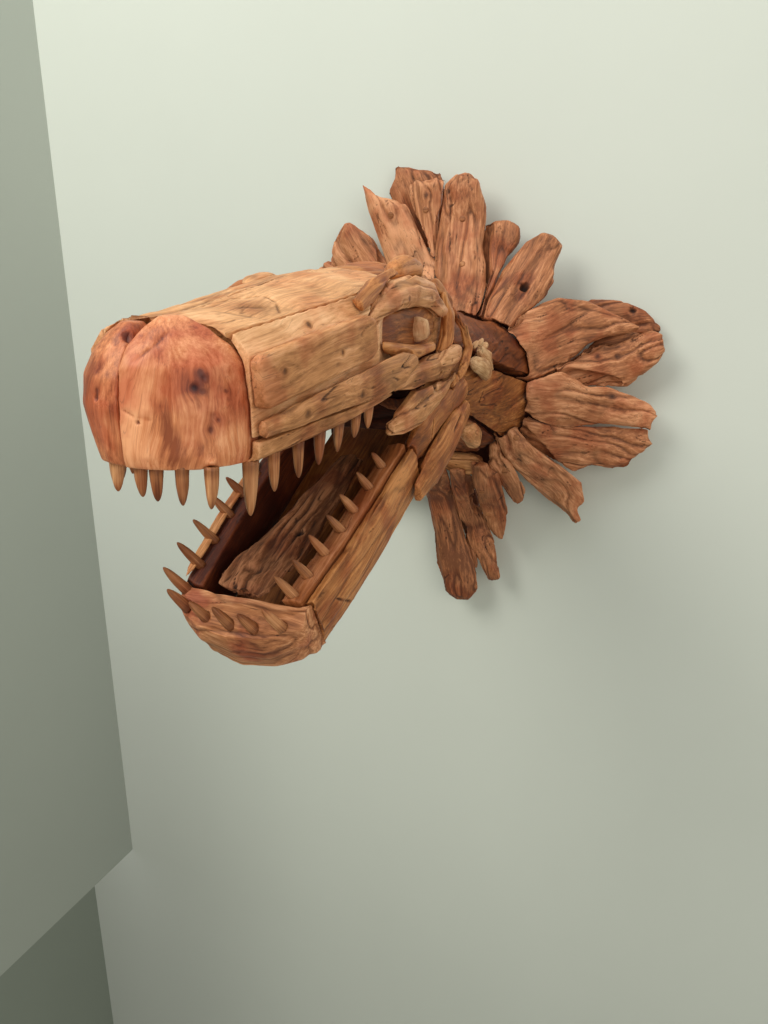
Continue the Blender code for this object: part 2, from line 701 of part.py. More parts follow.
def neck_stave(name, start, end, lift):
    """One of the thick roots that ring the hollow neck."""
    sections = []
    for y, centre, radius in zip(NECK_Y, NECK_CENTRE_Z, NECK_RADIUS):
        outer, inner = [], []
        for share in (0.0, 0.33, 0.67, 1.0):
            a = math.radians(start + 1 + (end - start - 2) * share)
            out = radius + lift + 5 * math.sin(math.pi * share)
            outer.append((out * math.cos(a), y, centre + out * math.sin(a)))
            back = radius - NECK_THICK
            inner.append((back * math.cos(a), y, centre + back * math.sin(a)))
        sections.append(outer + inner[::-1])
    return loft(name, sections, 3.0)


def rise(radius):
    """How far the frill stands off the wall at this distance from the neck's middle."""
    share = min(max((RISE_FOOT - radius) / (RISE_FOOT - RISE_FLAT), 0.0), 1.0)
    return FRILL_RISE * share * share * (3 - 2 * share)


def petal(name, height, thick, stations, seed):
    """One root of the frill, laid outward from the neck like a petal."""
    path = np.asarray(stations, float)
    rows = []
    for i, (x, z, half) in enumerate(path):
        radius = math.hypot(x, z)
        body = thick * (0.72 if i in (0, len(path) - 1) else 1.0)
        rows.append((x, -(height + rise(radius)), z, half * PETAL_WIDEN, min(body, half * 1.1)))
    heading = path[-1, :2] - path[0, :2]
    across = (-heading[1], 0.0, heading[0])
    return root_piece(name, rows, across, sides=7, rough=0.07, seed=seed)


def backing_board():
    """The flat board on the wall that the pieces are screwed to."""
    sections = []
    for y in (0.0, -BOARD_THICK):
        sections.append([
            (BOARD_RADIUS * (0.94 + 0.06 * math.cos(3 * k)) * math.cos(k * math.pi / 6), y,
             BOARD_RADIUS * (0.94 + 0.06 * math.cos(3 * k)) * math.sin(k * math.pi / 6))
            for k in range(12)
        ])
    return loft("backing_board", sections, 0.0)


def brow_arch(name, side):
    """The thick arched root over the eye."""
    x = 92.0
    return root_piece(name, [
        (side * (x + 2), -733, 167, 6, 6), (side * (x + 3), -708, 180, 13, 10),
        (side * (x + 3), -668, 190, 18, 13), (side * (x + 2), -612, 193, 19, 14),
        (side * (x + 1), -556, 187, 18, 13), (side * (x + 2), -514, 168, 11, 10),
    ], (0, 0, 1), rough=0.08, seed=41 + side)


def eye_group(side, suffix, full):
    """Eye, lid and post on one side; the hidden side is plainer."""
    x = 92.0
    place(root_piece("eye_peg" + suffix, [
        (side * 66, -594, 150, 10, 14), (side * 95, -594, 151, 11, 16), (side * 106, -594, 152, 8, 11),
    ], (0, 1, 0), power=2.2, rough=0.02, seed=43))
    if full:
        place(root_piece("lower_lid" + suffix, [
            (side * (x + 3), -708, 142, 5, 6), (side * (x + 5), -668, 134, 9, 10),
            (side * (x + 5), -618, 127, 10, 11), (side * (x + 2), -552, 128, 8, 9),
        ], (0, 0, 1), rough=0.06, seed=45))
        place(root_piece("brow_block", [
            (92, -756, 183, 9, 8), (89, -704, 199, 13, 10), (84, -646, 210, 10, 9),
        ], (-0.3, 0.6, 0.7), sides=6, rough=0.05, seed=47))
        place(root_piece("eye_post", [
            (94, -512, 110, 10, 9), (94, -491, 134, 15, 11), (94, -490, 162, 16, 11), (88, -500, 190, 9, 8),
        ], (0, 1, 0), rough=0.08, seed=49))
        place(root_piece("rear_rim_stick", [
            (95, -474, 70, 5, 6), (100, -434, 89, 8, 8), (100, -414, 115, 9, 8),
            (97, -428, 143, 8, 8), (90, -462, 168, 6, 6),
        ], (0, 0.9, -0.3), rough=0.05, seed=51))


def paint(obj):
    """Give the piece the wood that its name belongs to, shaded in flat facets with soft curves."""
    for wood, (colour, roughness, starts) in WOODS.items():
        if not obj.name.startswith(starts):
            continue
        material = bpy.data.materials.get(wood)
        if material is None:
            material = bpy.data.materials.new(wood)
            material.use_nodes = True
            shader = material.node_tree.nodes["Principled BSDF"]
            shader.inputs["Base Color"].default_value = (*colour, 1.0)
            shader.inputs["Roughness"].default_value = roughness
            shader.inputs["Metallic"].default_value = 0.0
        obj.data.materials.clear()
        obj.data.materials.append(material)
    obj.data.shade_smooth()
    obj.data.set_sharp_from_angle(angle=math.radians(35))


def main():
    """Lay every piece in turn, each cut to nest against those before it."""
    for obj in list(bpy.data.objects):
        bpy.data.objects.remove(obj)
    near, far = 1, -1
    place(backing_board())
    for side, suffix in ((near, "_near"), (far, "_far")):
        place(snout_block("snout_block" + suffix, side))
        place(cheek_plate("cheek_plate" + suffix, side))
        place(top_plank("top_plank" + suffix, side))
        place(brow_arch("brow_arch" + suffix, side))
        place(side_board("side_board" + suffix, side, UPPER_SIDE_TEETH if side == far else ()))
    place(lip_plank("lip_plank_near", near, UPPER_SIDE_TEETH))
    place(lower_plank("lower_plank_near", near))
    eye_group(near, "_near", True)
    eye_group(far, "_far", False)
    place(crown())
    place(root_piece("cheek_slab_near", [
        (95, -676, 97, 9, 8), (97, -620, 99, 15, 11), (97, -562, 101, 19, 12),
        (96, -505, 103, 20, 11), (92, -456, 106, 13, 9),
    ], (0, 0, 1), rough=0.1, seed=61))
    place(root_piece("cheek_root_near", [
        (94, -468, 84, 12, 9), (97, -540, 72, 22, 11), (97, -600, 62, 26, 12),
        (95, -648, 52, 17, 11), (92, -676, 47, 9, 8),
    ], (0, 0.4, 1), rough=0.08, seed=63))
    place(root_piece("cheek_slab_far", [
        (-94, -690, 80, 18, 9), (-96, -624, 68, 42, 11), (-96, -546, 66, 46, 12),
        (-94, -482, 82, 36, 11), (-88, -436, 102, 18, 9),
    ], (0, 0, 1), rough=0.08, seed=65))
    place(chin_block())
    place(jaw_rail("jaw_rail_near", near, LOWER_NEAR_TEETH))
    place(jaw_side("jaw_side_near", near, 6.0, ()))
    place(jaw_side("jaw_side_far", far, -58.0, LOWER_FAR_TEETH))
    place(jaw_floor())
    place(tongue())
    place(root_piece("hinge_plank_near", [
        (98, -414, 32, 15, 9), (102, -466, 16, 25, 11), (103, -514, -2, 27, 12),
        (102, -560, -22, 25, 11), (98, -606, -44, 15, 9),
    ], (0, 0, 1), rough=0.05, seed=71))
    place(root_piece("hinge_root_near", [
        (92, -412, 60, 20, 10), (93, -462, 44, 28, 12), (91, -520, 32, 30, 12),
        (89, -566, 18, 25, 11), (87, -606, 2, 14, 9),
    ], (0, 0, 1), rough=0.06, seed=73))
    place(root_piece("hinge_plank_far", [
        (-92, -446, 78, 20, 10), (-95, -486, 40, 30, 12), (-96, -536, -6, 28, 12), (-94, -584, -44, 18, 10),
    ], (0, 1, -0.75), rough=0.05, seed=75))
    place(palate())
    for name, start, end, lift in NECK_STAVES:
        place(neck_stave(name, start, end, lift))
    place(root_piece("pale_burl", [
        (98, -366, 112, 10, 9), (102, -346, 96, 17, 14), (104, -326, 78, 12, 11),
    ], (0, 1, 0.3), rough=0.14, seed=77))
    for seed, (name, height, thick, stations) in enumerate(PETALS):
        place(petal(name, height, thick, stations, 100 + seed))
    for obj in BUILT.values():
        paint(obj)


main()
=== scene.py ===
"""Looks of a dinosaur head wall sculpture, pieced together from reclaimed root wood.

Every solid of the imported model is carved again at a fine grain: its copy is made an even
skin, rounded, and cut inwards along the wood's grain by noise worked out on whole arrays.
The pegs, the screw plugs and a few small offcuts are surfaces of their own. Lengths are
millimetres in this file and metres in the scene. The wall is y = 0 and the head points
along -Y.
"""

from __future__ import annotations

import logging
import math
from dataclasses import dataclass, field
from enum import Enum

import bpy
import numpy as np
from mathutils import Matrix, Vector

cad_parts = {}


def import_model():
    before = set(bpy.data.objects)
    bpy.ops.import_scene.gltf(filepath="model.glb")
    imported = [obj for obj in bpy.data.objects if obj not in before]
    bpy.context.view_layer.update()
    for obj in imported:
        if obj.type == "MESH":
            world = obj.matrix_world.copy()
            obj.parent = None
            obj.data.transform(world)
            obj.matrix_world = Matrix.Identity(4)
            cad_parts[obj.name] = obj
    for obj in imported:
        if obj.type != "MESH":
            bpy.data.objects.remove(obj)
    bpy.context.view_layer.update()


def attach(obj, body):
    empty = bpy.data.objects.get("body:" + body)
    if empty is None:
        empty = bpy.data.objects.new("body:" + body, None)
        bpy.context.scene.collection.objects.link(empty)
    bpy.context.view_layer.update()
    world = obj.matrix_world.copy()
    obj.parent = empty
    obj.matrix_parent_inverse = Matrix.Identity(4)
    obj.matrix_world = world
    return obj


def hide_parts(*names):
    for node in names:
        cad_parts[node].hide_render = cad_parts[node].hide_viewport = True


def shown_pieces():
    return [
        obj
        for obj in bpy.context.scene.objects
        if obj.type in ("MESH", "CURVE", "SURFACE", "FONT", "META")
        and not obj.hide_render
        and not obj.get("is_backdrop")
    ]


LOG = logging.getLogger("dinosaur_head")
MM = 0.001
BODY = "root"
CARVED = "_carved"
CAMERA_AT = (0.423, -1.450, 0.214)
PETAL_PLANE = -52.0
FRILL_MIDDLE = (0.0, 20.0)
RIM = 10.0
THINNING = 0.5
WELD_GAP = 2e-6
TOOTH_ROWS, TOOTH_COLUMNS = 22, 20
OFFCUT_ROWS, OFFCUT_COLUMNS, OFFCUT_OVAL = 18, 20, 2.6
# Of a coarse peg, what lies between these shares of its length and within this share of its
# radius is moved to this depth in mm.
SINK_FROM, SINK_TO, SINK_WIDTH, SINK_DEPTH = 0.5, 1.05, 1.15, 5.5
# A petal is free of its outline up to here from its inner end, and held from there, in mm.
FREE_TO, HELD_FROM = 25.0, 55.0
# A side face is drawn to the outline from here, and left alone from there, in mm inside it.
DRAWN_TO, LEFT_FROM = 10.0, 16.0
RELIEF_PASSES, RELIEF_SCALE = 5, 0.42
# Cells of the carving's noises in mm: along the grain and twice across it, or in the open.
WANDER_CELL = (75.0, 42.0, 42.0)
FOLD_CELL = (150.0, 26.0, 26.0)
BROAD_CELL = (60.0, 7.5, 7.5)
FINE_CELL = (34.0, 3.2, 3.2)
CRACK_CELL = (230.0, 15.0, 15.0)
WEATHER_CELL, LUMP_CELL, KNUCKLE_CELL, CRACKED_CELL, TONE_CELL = 46, 38, 17, 33, 60
# Odd numbers that scatter the lattice's corners.
HASH_X, HASH_Y, HASH_Z, HASH_SEED, HASH_MIX = (
    374761393, 668265263, 2246822519, 3266489917, 1274126177,
)

Array = np.ndarray
Point = tuple[float, float, float]
Socket = bpy.types.NodeSocket


class Mark(Enum):
    """What a mark does to the wood round a point."""

    KNOT = "grain parts round it, dark in the middle"
    PIT = "a hole or a dent"
    STAIN = "a patch of lighter or darker wood"
    SPLIT = "an open crack from one point to another"
    CREASE = "a soft valley from one point to another"


@dataclass(frozen=True)
class Spot:
    """One mark of the wood: where it is, how wide (mm), how strong, and where a line ends."""

    kind: Mark
    at: Point
    size: float
    strength: float
    to: Point | None = None


@dataclass(frozen=True)
class WoodFinish:
    """A wood with the finish that its maker gave it.

    The colours are sRGB: pale early wood, the body of the board, deep late wood, the dirt
    and painted shade in its cracks and hollows, and the blush that tints it in patches.
    Lengths are the real ones in millimetres.
    """

    name: str
    slot: str
    pale: str
    body: str
    deep: str
    dirt_and_shade: str
    roughness: float
    blush: str = "#E2C8BC"
    streak_mm: float = 3.4
    streak_length_mm: float = 90.0
    figure_mm: float = 24.0
    figure: float = 0.10
    fibre_mm: float = 0.8
    checks: float = 0.5
    bump: float = 0.35


@dataclass(frozen=True)
class Carving:
    """How one solid is carved.

    voxel is the size of its mesh's faces, rounding the number of smoothing passes, and the
    rest are depths in mm: broad lumps, long folds, grain ridges and cracks. axis is the way
    that the grain runs, or None for the solid's own long axis.
    """

    finish: WoodFinish
    voxel: float = 2.4
    rounding: int = 8
    lumps: float = 1.2
    folds: float = 0.0
    ridges: float = 0.5
    cracks: float = 1.5
    tone: float = 0.0
    axis: Point | None = None
    wander: float = 7.0


# Finishes. Teak root is dense and oily: oiled and handled, it is a satin red brown; left
# raw, it weathers to tan and grey with open grain. Its IOR is that of any oiled wood.
OILED_BLOCK = WoodFinish(
    "teak_root_block_oiled", "red_brown_wood", "#EBA678", "#CB7E51", "#8D4A2C", "#30151A",
    0.44, "#DBB4AC", streak_mm=3.6, streak_length_mm=55.0, figure_mm=30.0, figure=0.07,
    checks=0.25, bump=0.2,
)
LIGHT_PLANK = WoodFinish(
    "teak_root_plank_light", "tan_wood", "#EDB98A", "#CF9766", "#946339", "#2B160C", 0.58,
    "#EEDACE",
)
TAN_PLANK = WoodFinish(
    "teak_root_plank_brushed", "tan_wood", "#DDA273", "#BC8150", "#87542B", "#27130A", 0.60,
)
REDDISH_PLANK = WoodFinish(
    "teak_root_plank_reddish", "tan_wood", "#C8864E", "#995A2B", "#603114", "#20100A", 0.55,
)
RAIL_PLANK = WoodFinish(
    "teak_root_rail_brushed", "rail_wood", "#C07E55", "#A15E33", "#6F3819", "#241009", 0.56,
)
CHIN_ROOT = WoodFinish(
    "teak_root_chin_oiled", "rail_wood", "#DDA276", "#B27349", "#6C3B20", "#1E0D08", 0.56,
    "#D3A9A4",
)
# Partly the board's own dark stain and partly painted shade: the palate, the far jaw side's inner
# face, the far cheek and hinge, the throat roots and the backing board take it where shade falls.
DARK_BOARD = WoodFinish(
    "teak_board_stained_dark", "dark_wood", "#6B3112", "#46190A", "#280F05", "#100503", 0.60,
)
WEATHERED_ROOT = WoodFinish(
    "teak_root_weathered_brown", "grey_root_wood", "#A06A48", "#704225", "#3F2313", "#160A06",
    0.74, streak_mm=2.6, bump=0.5,
)
PALE_BURL = WoodFinish(
    "teak_burl_raw", "pale_wood", "#DCB58A", "#B98A5E", "#7E5432", "#2B170C", 0.75,
    streak_length_mm=25.0, bump=0.5,
)
NECK_ROOT = WoodFinish(
    "teak_root_dark_oiled", "neck_wood", "#985429", "#70381B", "#421D0D", "#180A06", 0.50,
)
FRILL_ROOT = WoodFinish(
    "teak_root_split_oiled", "frill_wood", "#D2946A", "#A96C45", "#6F4127", "#221009", 0.60,
    bump=0.36,
)
WHITTLED_PEG = WoodFinish(
    "teak_peg_whittled", "tan_wood", "#D09768", "#AB7146", "#774526", "#3A1C0E", 0.50,
    streak_mm=1.6, streak_length_mm=40.0, figure=0.05, checks=0.0, bump=0.2,
)


def linear(colour: str) -> tuple[float, float, float, float]:
    """Turn an sRGB hex colour to linear RGBA.

    Args:
        colour: the colour as "#RRGGBB".

    Returns:
        Red, green, blue and alpha.
    """
    parts = [int(colour[i : i + 2], 16) / 255 for i in (1, 3, 5)]
    red, green, blue = (
        c / 12.92 if c <= 0.04045 else ((c + 0.055) / 1.055) ** 2.4 for c in parts
    )
    return red, green, blue, 1.0


def add(
    tree: bpy.types.NodeTree, kind: str, inputs: dict | None = None, **settings: object
) -> bpy.types.Node:
    """Add one shader node.

    Args:
        tree: the node tree.
        kind: the node's type name.
        inputs: socket name or number to a value or to another node's output socket.
        settings: the node's own properties.

    Returns:
        The node.
    """
    node = tree.nodes.new(kind)
    for name, value in settings.items():
        setattr(node, name, value)
    for name, value in (inputs or {}).items():
        socket = node.inputs[name]
        if isinstance(value, bpy.types.NodeSocket):
            tree.links.new(value, socket)
        else:
            socket.default_value = value
    return node


def math_socket(tree: bpy.types.NodeTree, operation: str, *values: object) -> Socket:
    """What an operation makes of up to three values."""
    return add(tree, "ShaderNodeMath", dict(enumerate(values)), operation=operation).outputs[0]


def ease(
    tree: bpy.types.NodeTree, value: Socket, low: float, high: float, **settings: object
) -> Socket:
    """0 where a value is at low to 1 where it is at high, held outside them."""
    limits = {"Value": value, "From Min": low, "From Max": high}
    return add(tree, "ShaderNodeMapRange", limits, **settings).outputs["Result"]


def cloud(
    tree: bpy.types.NodeTree, vector: Socket, scale: float, detail: float, rough: float = 0.5
) -> Socket:
    """A noise over a vector."""
    look = {"Vector": vector, "Scale": scale, "Detail": detail, "Roughness": rough}
    return add(tree, "ShaderNodeTexNoise", look).outputs["Fac"]


def blank_material(name: str) -> tuple[bpy.types.Material, bpy.types.NodeTree]:
    """A new material and its node tree, which is still empty."""
    made = bpy.data.materials.new(name)
    made.use_nodes = True
    made.node_tree.nodes.clear()
    return made, made.node_tree


def wood_material(finish: WoodFinish) -> bpy.types.Material:
    """Make the material of a finish, once.

    The grain attribute holds each piece's own coordinates, first along the grain, so every
    pattern is stretched that way: streaks of early and late wood, cathedral figure as
    contour lines of a slow noise, fibre, and drying checks where another noise crosses its
    middle. tone, hollow, knot and the arris measure are painted by the carving; hollow
    draws cracks, creases and pits towards the dirt colour, as dirt and as painted shade.

    Args:
        finish: the wood and its sizes.

    Returns:
        The material.
    """
    if finish.name in bpy.data.materials:
        return bpy.data.materials[finish.name]
    made, tree = blank_material(finish.name)

    def grained(along: float, across: float, detail: float, rough: float = 0.55) -> Socket:
        """A noise whose cells are this long along the grain and this wide, in mm."""
        cells = {0: grain, 1: (1000 / along, 1000 / across, 1000 / across)}
        vector = add(tree, "ShaderNodeVectorMath", cells, operation="MULTIPLY").outputs[0]
        return cloud(tree, vector, 1.0, detail, rough)

    def fma(*terms: object) -> Socket:
        """The first times the second, plus the third."""
        return math_socket(tree, "MULTIPLY_ADD", *terms)

    def mix(share: Socket, one: Socket, colour: str, **settings: object) -> Socket:
        """Turn a colour to another. Sockets 0, 6 and 7 are the share and both colours."""
        inputs = {0: share, 6: one, 7: linear(colour)}
        return add(tree, "ShaderNodeMix", inputs, data_type="RGBA", **settings).outputs[2]

    grain = add(tree, "ShaderNodeAttribute", attribute_name="grain").outputs["Vector"]
    tone, hollow, knotty, wear = (
        add(tree, "ShaderNodeAttribute", attribute_name=name).outputs["Fac"]
        for name in ("tone", "hollow", "knot", "wear")
    )
    place = add(tree, "ShaderNodeTexCoord").outputs["Object"]
    streak = grained(finish.streak_length_mm, finish.streak_mm, 3.0, 0.6)
    slow = grained(finish.figure_mm * 6, finish.figure_mm, 1.5, 0.45)
    rings = math_socket(tree, "SINE", fma(slow, 62.0, 0.0))
    fibre = grained(24.0, finish.fibre_mm, 2.0)
    patch = cloud(tree, place, 14.0, 3.0)
    off_vein = math_socket(tree, "ABSOLUTE", fma(grained(140.0, 7.0, 1.5), 1.0, -0.5))
    checks = math_socket(
        tree, "MULTIPLY", ease(tree, off_vein, 0.011, 0.002), ease(tree, patch, 0.46, 0.60)
    )

    # Worn arrises get lighter, and hollows darker as painted shade, by the arris measure.
    value: object = -0.61
    for pattern, weight in (
        (streak, 1.1), (rings, finish.figure * 0.5), (patch, 0.7), (fibre, 0.42),
        (tone, 0.45), (wear, 0.35),
    ):
        value = fma(pattern, weight, value)
    knot_rings = math_socket(tree, "SINE", fma(knotty, 20.0, 0.0))
    value = fma(knotty, fma(knot_rings, 0.10, -0.85), value)

    ramp = add(tree, "ShaderNodeValToRGB", {"Fac": value})
    stops = ramp.color_ramp.elements
    stops[0].position, stops[0].color = 0.10, linear(finish.deep)
    stops[1].position, stops[1].color = 0.88, linear(finish.pale)
    stops.new(0.5).color = linear(finish.body)
    blushed = ease(tree, cloud(tree, place, 21.0, 4.0), 0.47, 0.62)
    tinted = mix(blushed, ramp.outputs["Color"], finish.blush, blend_type="MULTIPLY")
    # Painted shade: hollows, cracks and creases go towards the dirt colour, which stands for dirt
    # and for the shade in them, as do knots' hearts and checks.
    heart = fma(knotty, fma(knotty, 0.75, 0.0), fma(checks, finish.checks, hollow))
    height = fma(checks, -finish.checks, fma(streak, 0.6, fma(fibre, 0.5, 0.0)))
    bump = {"Strength": finish.bump, "Distance": 0.0012, "Height": height}
    shader = add(
        tree,
        "ShaderNodeBsdfPrincipled",
        {
            "Base Color": mix(heart, tinted, finish.dirt_and_shade),
            "Roughness": fma(streak, 0.22, fma(hollow, 0.2, finish.roughness - 0.10)),
            "Normal": add(tree, "ShaderNodeBump", bump).outputs["Normal"],
            "IOR": 1.46,
            "Metallic": 0.0,
            "Specular IOR Level": 0.35,
        },
    )
    add(tree, "ShaderNodeOutputMaterial", {"Surface": shader.outputs["BSDF"]})
    return made


def lattice_noise(points: Array, seed: int) -> Array:
    """Smooth noise of unit cells, worked out for all points at once.

    Each corner of a point's cell has a fixed random slope; the noise is the sum of the
    slopes' heights at the point, blended by the quintic 6t^5 - 15t^4 + 10t^3.

    Args:
        points: (n, 3) positions in cells.
        seed: which noise.

    Returns:
        (n,) values from about -1 to 1.
    """
    low = np.floor(points)
    part = (points - low).astype(np.float32)
    cell = low.astype(np.int64).astype(np.uint32)
    blend = part * part * part * (part * (part * 6 - 15) + 10)
    total = np.zeros(len(points), np.float32)
    for corner in range(8):
        step = np.array([corner & 1, corner >> 1 & 1, corner >> 2 & 1], np.uint32)
        x, y, z = (cell + step).T
        mixed = x * np.uint32(HASH_X) + y * np.uint32(HASH_Y) + z * np.uint32(HASH_Z)
        mixed += np.uint32((seed * HASH_SEED) & 0xFFFFFFFF)
        mixed = (mixed ^ (mixed >> np.uint32(13))) * np.uint32(HASH_MIX)
        mixed ^= mixed >> np.uint32(16)
        weight = np.ones(len(points), np.float32)
        height = np.zeros(len(points), np.float32)
        for axis in range(3):
            slope = ((mixed >> np.uint32(10 * axis)) & np.uint32(1023)).astype(np.float32)
            height += (slope / 511.5 - 1) * (part[:, axis] - step[axis])
            weight *= blend[:, axis] if step[axis] else 1 - blend[:, axis]
        total += weight * height
    return total * 1.5


def ramp_up(values: Array, low: float, high: float) -> Array:
    """Smooth step from 0 at low to 1 at high; low may be the greater."""
    share = np.clip((values - low) / (high - low), 0, 1)
    return share * share * (3 - 2 * share)


def line_distance(points: Array, start: Array, end: Array) -> tuple[Array, Array]:
    """Distance from a segment, and the share along it.

    Args:
        points: (n, 3) positions.
        start: one end.
        end: the other end.

    Returns:
        Distances, and shares from 0 to 1.
    """
    way = end - start
    share = np.clip((points - start) @ way / way.dot(way), 0, 1)
    return np.linalg.norm(points - start - share[:, None] * way, axis=1), share


@dataclass
class Skin:
    """A mesh's points in mm and normals, its marks, and what the carving paints on it."""

    points: Array
    normals: Array
    spots: tuple[Spot, ...] = ()
    depth: Array = field(init=False)
    hollow: Array = field(init=False)
    knot: Array = field(init=False)
    tone: Array = field(init=False)
    grain: Array = field(init=False)

    def __post_init__(self) -> None:
        """Start with bare wood."""
        count = len(self.points)
        self.depth, self.hollow, self.knot, self.tone = np.zeros((4, count))
        self.grain = np.zeros((count, 3))

    def lay_grain(self, carving: Carving, seed: int) -> None:
        """Give every point its place along and across the grain.

        The axes are the solid's own by its spread, or turned to the carving's axis; a slow
        noise makes the grain wander, and it parts round knots.

        Args:
            carving: the piece's carving.
            seed: the piece's number.
        """
        centre = self.points.mean(axis=0)
        local = self.points - centre
        _, axes = np.linalg.eigh(local.T @ local)
        along = axes[:, 2] if carving.axis is None else np.array(carving.axis)
        along = along / np.linalg.norm(along)
        across = axes[:, 1] if abs(axes[:, 1] @ along) < 0.8 else axes[:, 0]
        across = across - along * (across @ along)
        across = across / np.linalg.norm(across)
        basis = np.stack([along, across, np.cross(along, across)])
        grain = local @ basis.T
        slow = grain / WANDER_CELL
        grain[:, 1] += carving.wander * lattice_noise(slow, seed + 11)
        grain[:, 2] += carving.wander * lattice_noise(slow, seed + 12)
        for spot in self.spots:
            if spot.kind is not Mark.KNOT:
                continue
            heart = (np.array(spot.at) - centre) @ basis.T
            gap = np.linalg.norm(self.points - spot.at, axis=1)
            pull = 0.9 * np.exp(-((gap / (2.1 * spot.size)) ** 2))
            grain[:, 1:] -= (grain[:, 1:] - heart[1:]) * pull[:, None]
        self.grain = grain

    def cut_grain(self, carving: Carving, seed: int) -> None:
        """Cut lumps, folds, grain ridges and cracks, all inwards.

        Ridges are the absolute value of noise stretched along the grain, so their crests are
        sharp and their valleys round; cracks are the thin band where another stretched noise
        is near zero, kept to some places by a slow noise.

        Args:
            carving: the depths.
            seed: the piece's number.
        """
        place = self.points
        weather = ramp_up(lattice_noise(place / WEATHER_CELL, seed + 1), -0.35, 0.45)
        lump = 0.5 + 0.5 * lattice_noise(place / LUMP_CELL, seed + 2)
        lump = 0.7 * lump + 0.3 * (0.5 + 0.5 * lattice_noise(place / KNUCKLE_CELL, seed + 3))
        fold = np.abs(lattice_noise(self.grain / FOLD_CELL, seed + 4))
        broad = 1 - np.abs(lattice_noise(self.grain / BROAD_CELL, seed + 5))
        fine = 1 - np.abs(lattice_noise(self.grain / FINE_CELL, seed + 6))
        band = np.abs(lattice_noise(self.grain / CRACK_CELL, seed + 7))
        where = ramp_up(lattice_noise(place / CRACKED_CELL, seed + 8), 0.10, 0.42)
        crack = ramp_up(band, 0.045, 0.0) * where
        ridge = 0.65 * broad**3 + 0.35 * fine**2
        self.depth += carving.lumps * lump
        self.depth += carving.folds * ramp_up(fold, 0.30, 0.0)
        self.depth += carving.ridges * ridge * (0.35 + 0.65 * weather)
        self.depth += carving.cracks * crack
        # Dirt and painted shade: cracks, ridge valleys and fold bottoms are marked hollow, which
        # the material darkens.
        self.hollow += 0.8 * crack * min(1.0, carving.cracks)
        self.hollow += 0.25 * ramp_up(ridge, 0.75, 1.0) * weather * min(1.0, carving.ridges)
        self.hollow += 0.35 * ramp_up(fold, 0.10, 0.0) * min(1.0, carving.folds)
        self.tone += carving.tone + 0.35 * lattice_noise(place / TONE_CELL, seed + 9)

    def cut_spots(self, seed: int) -> None:
        """Cut and paint the marks that the piece has at known places.

        Args:
            seed: the piece's number.
        """
        wobble = 1 + 0.35 * lattice_noise(self.points / 7, seed + 21)
        for spot in self.spots:
            start = np.array(spot.at)
            if spot.to is None:
                gap = np.linalg.norm(self.points - start, axis=1) * wobble / spot.size
                ends = 1.0
            else:
                gap, share = line_distance(self.points, start, np.array(spot.to))
                gap = gap * wobble / spot.size
                ends = np.clip(np.minimum(share, 1 - share) * 5 + 0.15, 0, 1)
            # Pits, splits and creases are marked hollow, which the material darkens as dirt and
            # as painted shade.
            if spot.kind is Mark.KNOT:
                near = np.exp(-(gap**2))
                self.knot += spot.strength * near
                self.depth += 0.8 * np.exp(-((2.2 * gap) ** 2))
            elif spot.kind is Mark.PIT:
                near = np.exp(-(gap**4))
                self.depth += spot.strength * near
                self.hollow += near * min(1.0, spot.strength / 3)
            elif spot.kind is Mark.STAIN:
                self.tone += spot.strength * np.exp(-(gap**2))
            elif spot.kind is Mark.SPLIT:
                near = np.exp(-(gap**2)) * ends
                self.depth += spot.strength * near
                self.hollow += near
            else:
                self.depth += spot.strength * np.exp(-(gap**1.2)) * ends
                self.hollow += 0.35 * np.exp(-((2 * gap) ** 2)) * ends

    def carved(self) -> Array:
        """The points after every cut, moved in along the normals."""
        return self.points - self.normals * self.depth[:, None]


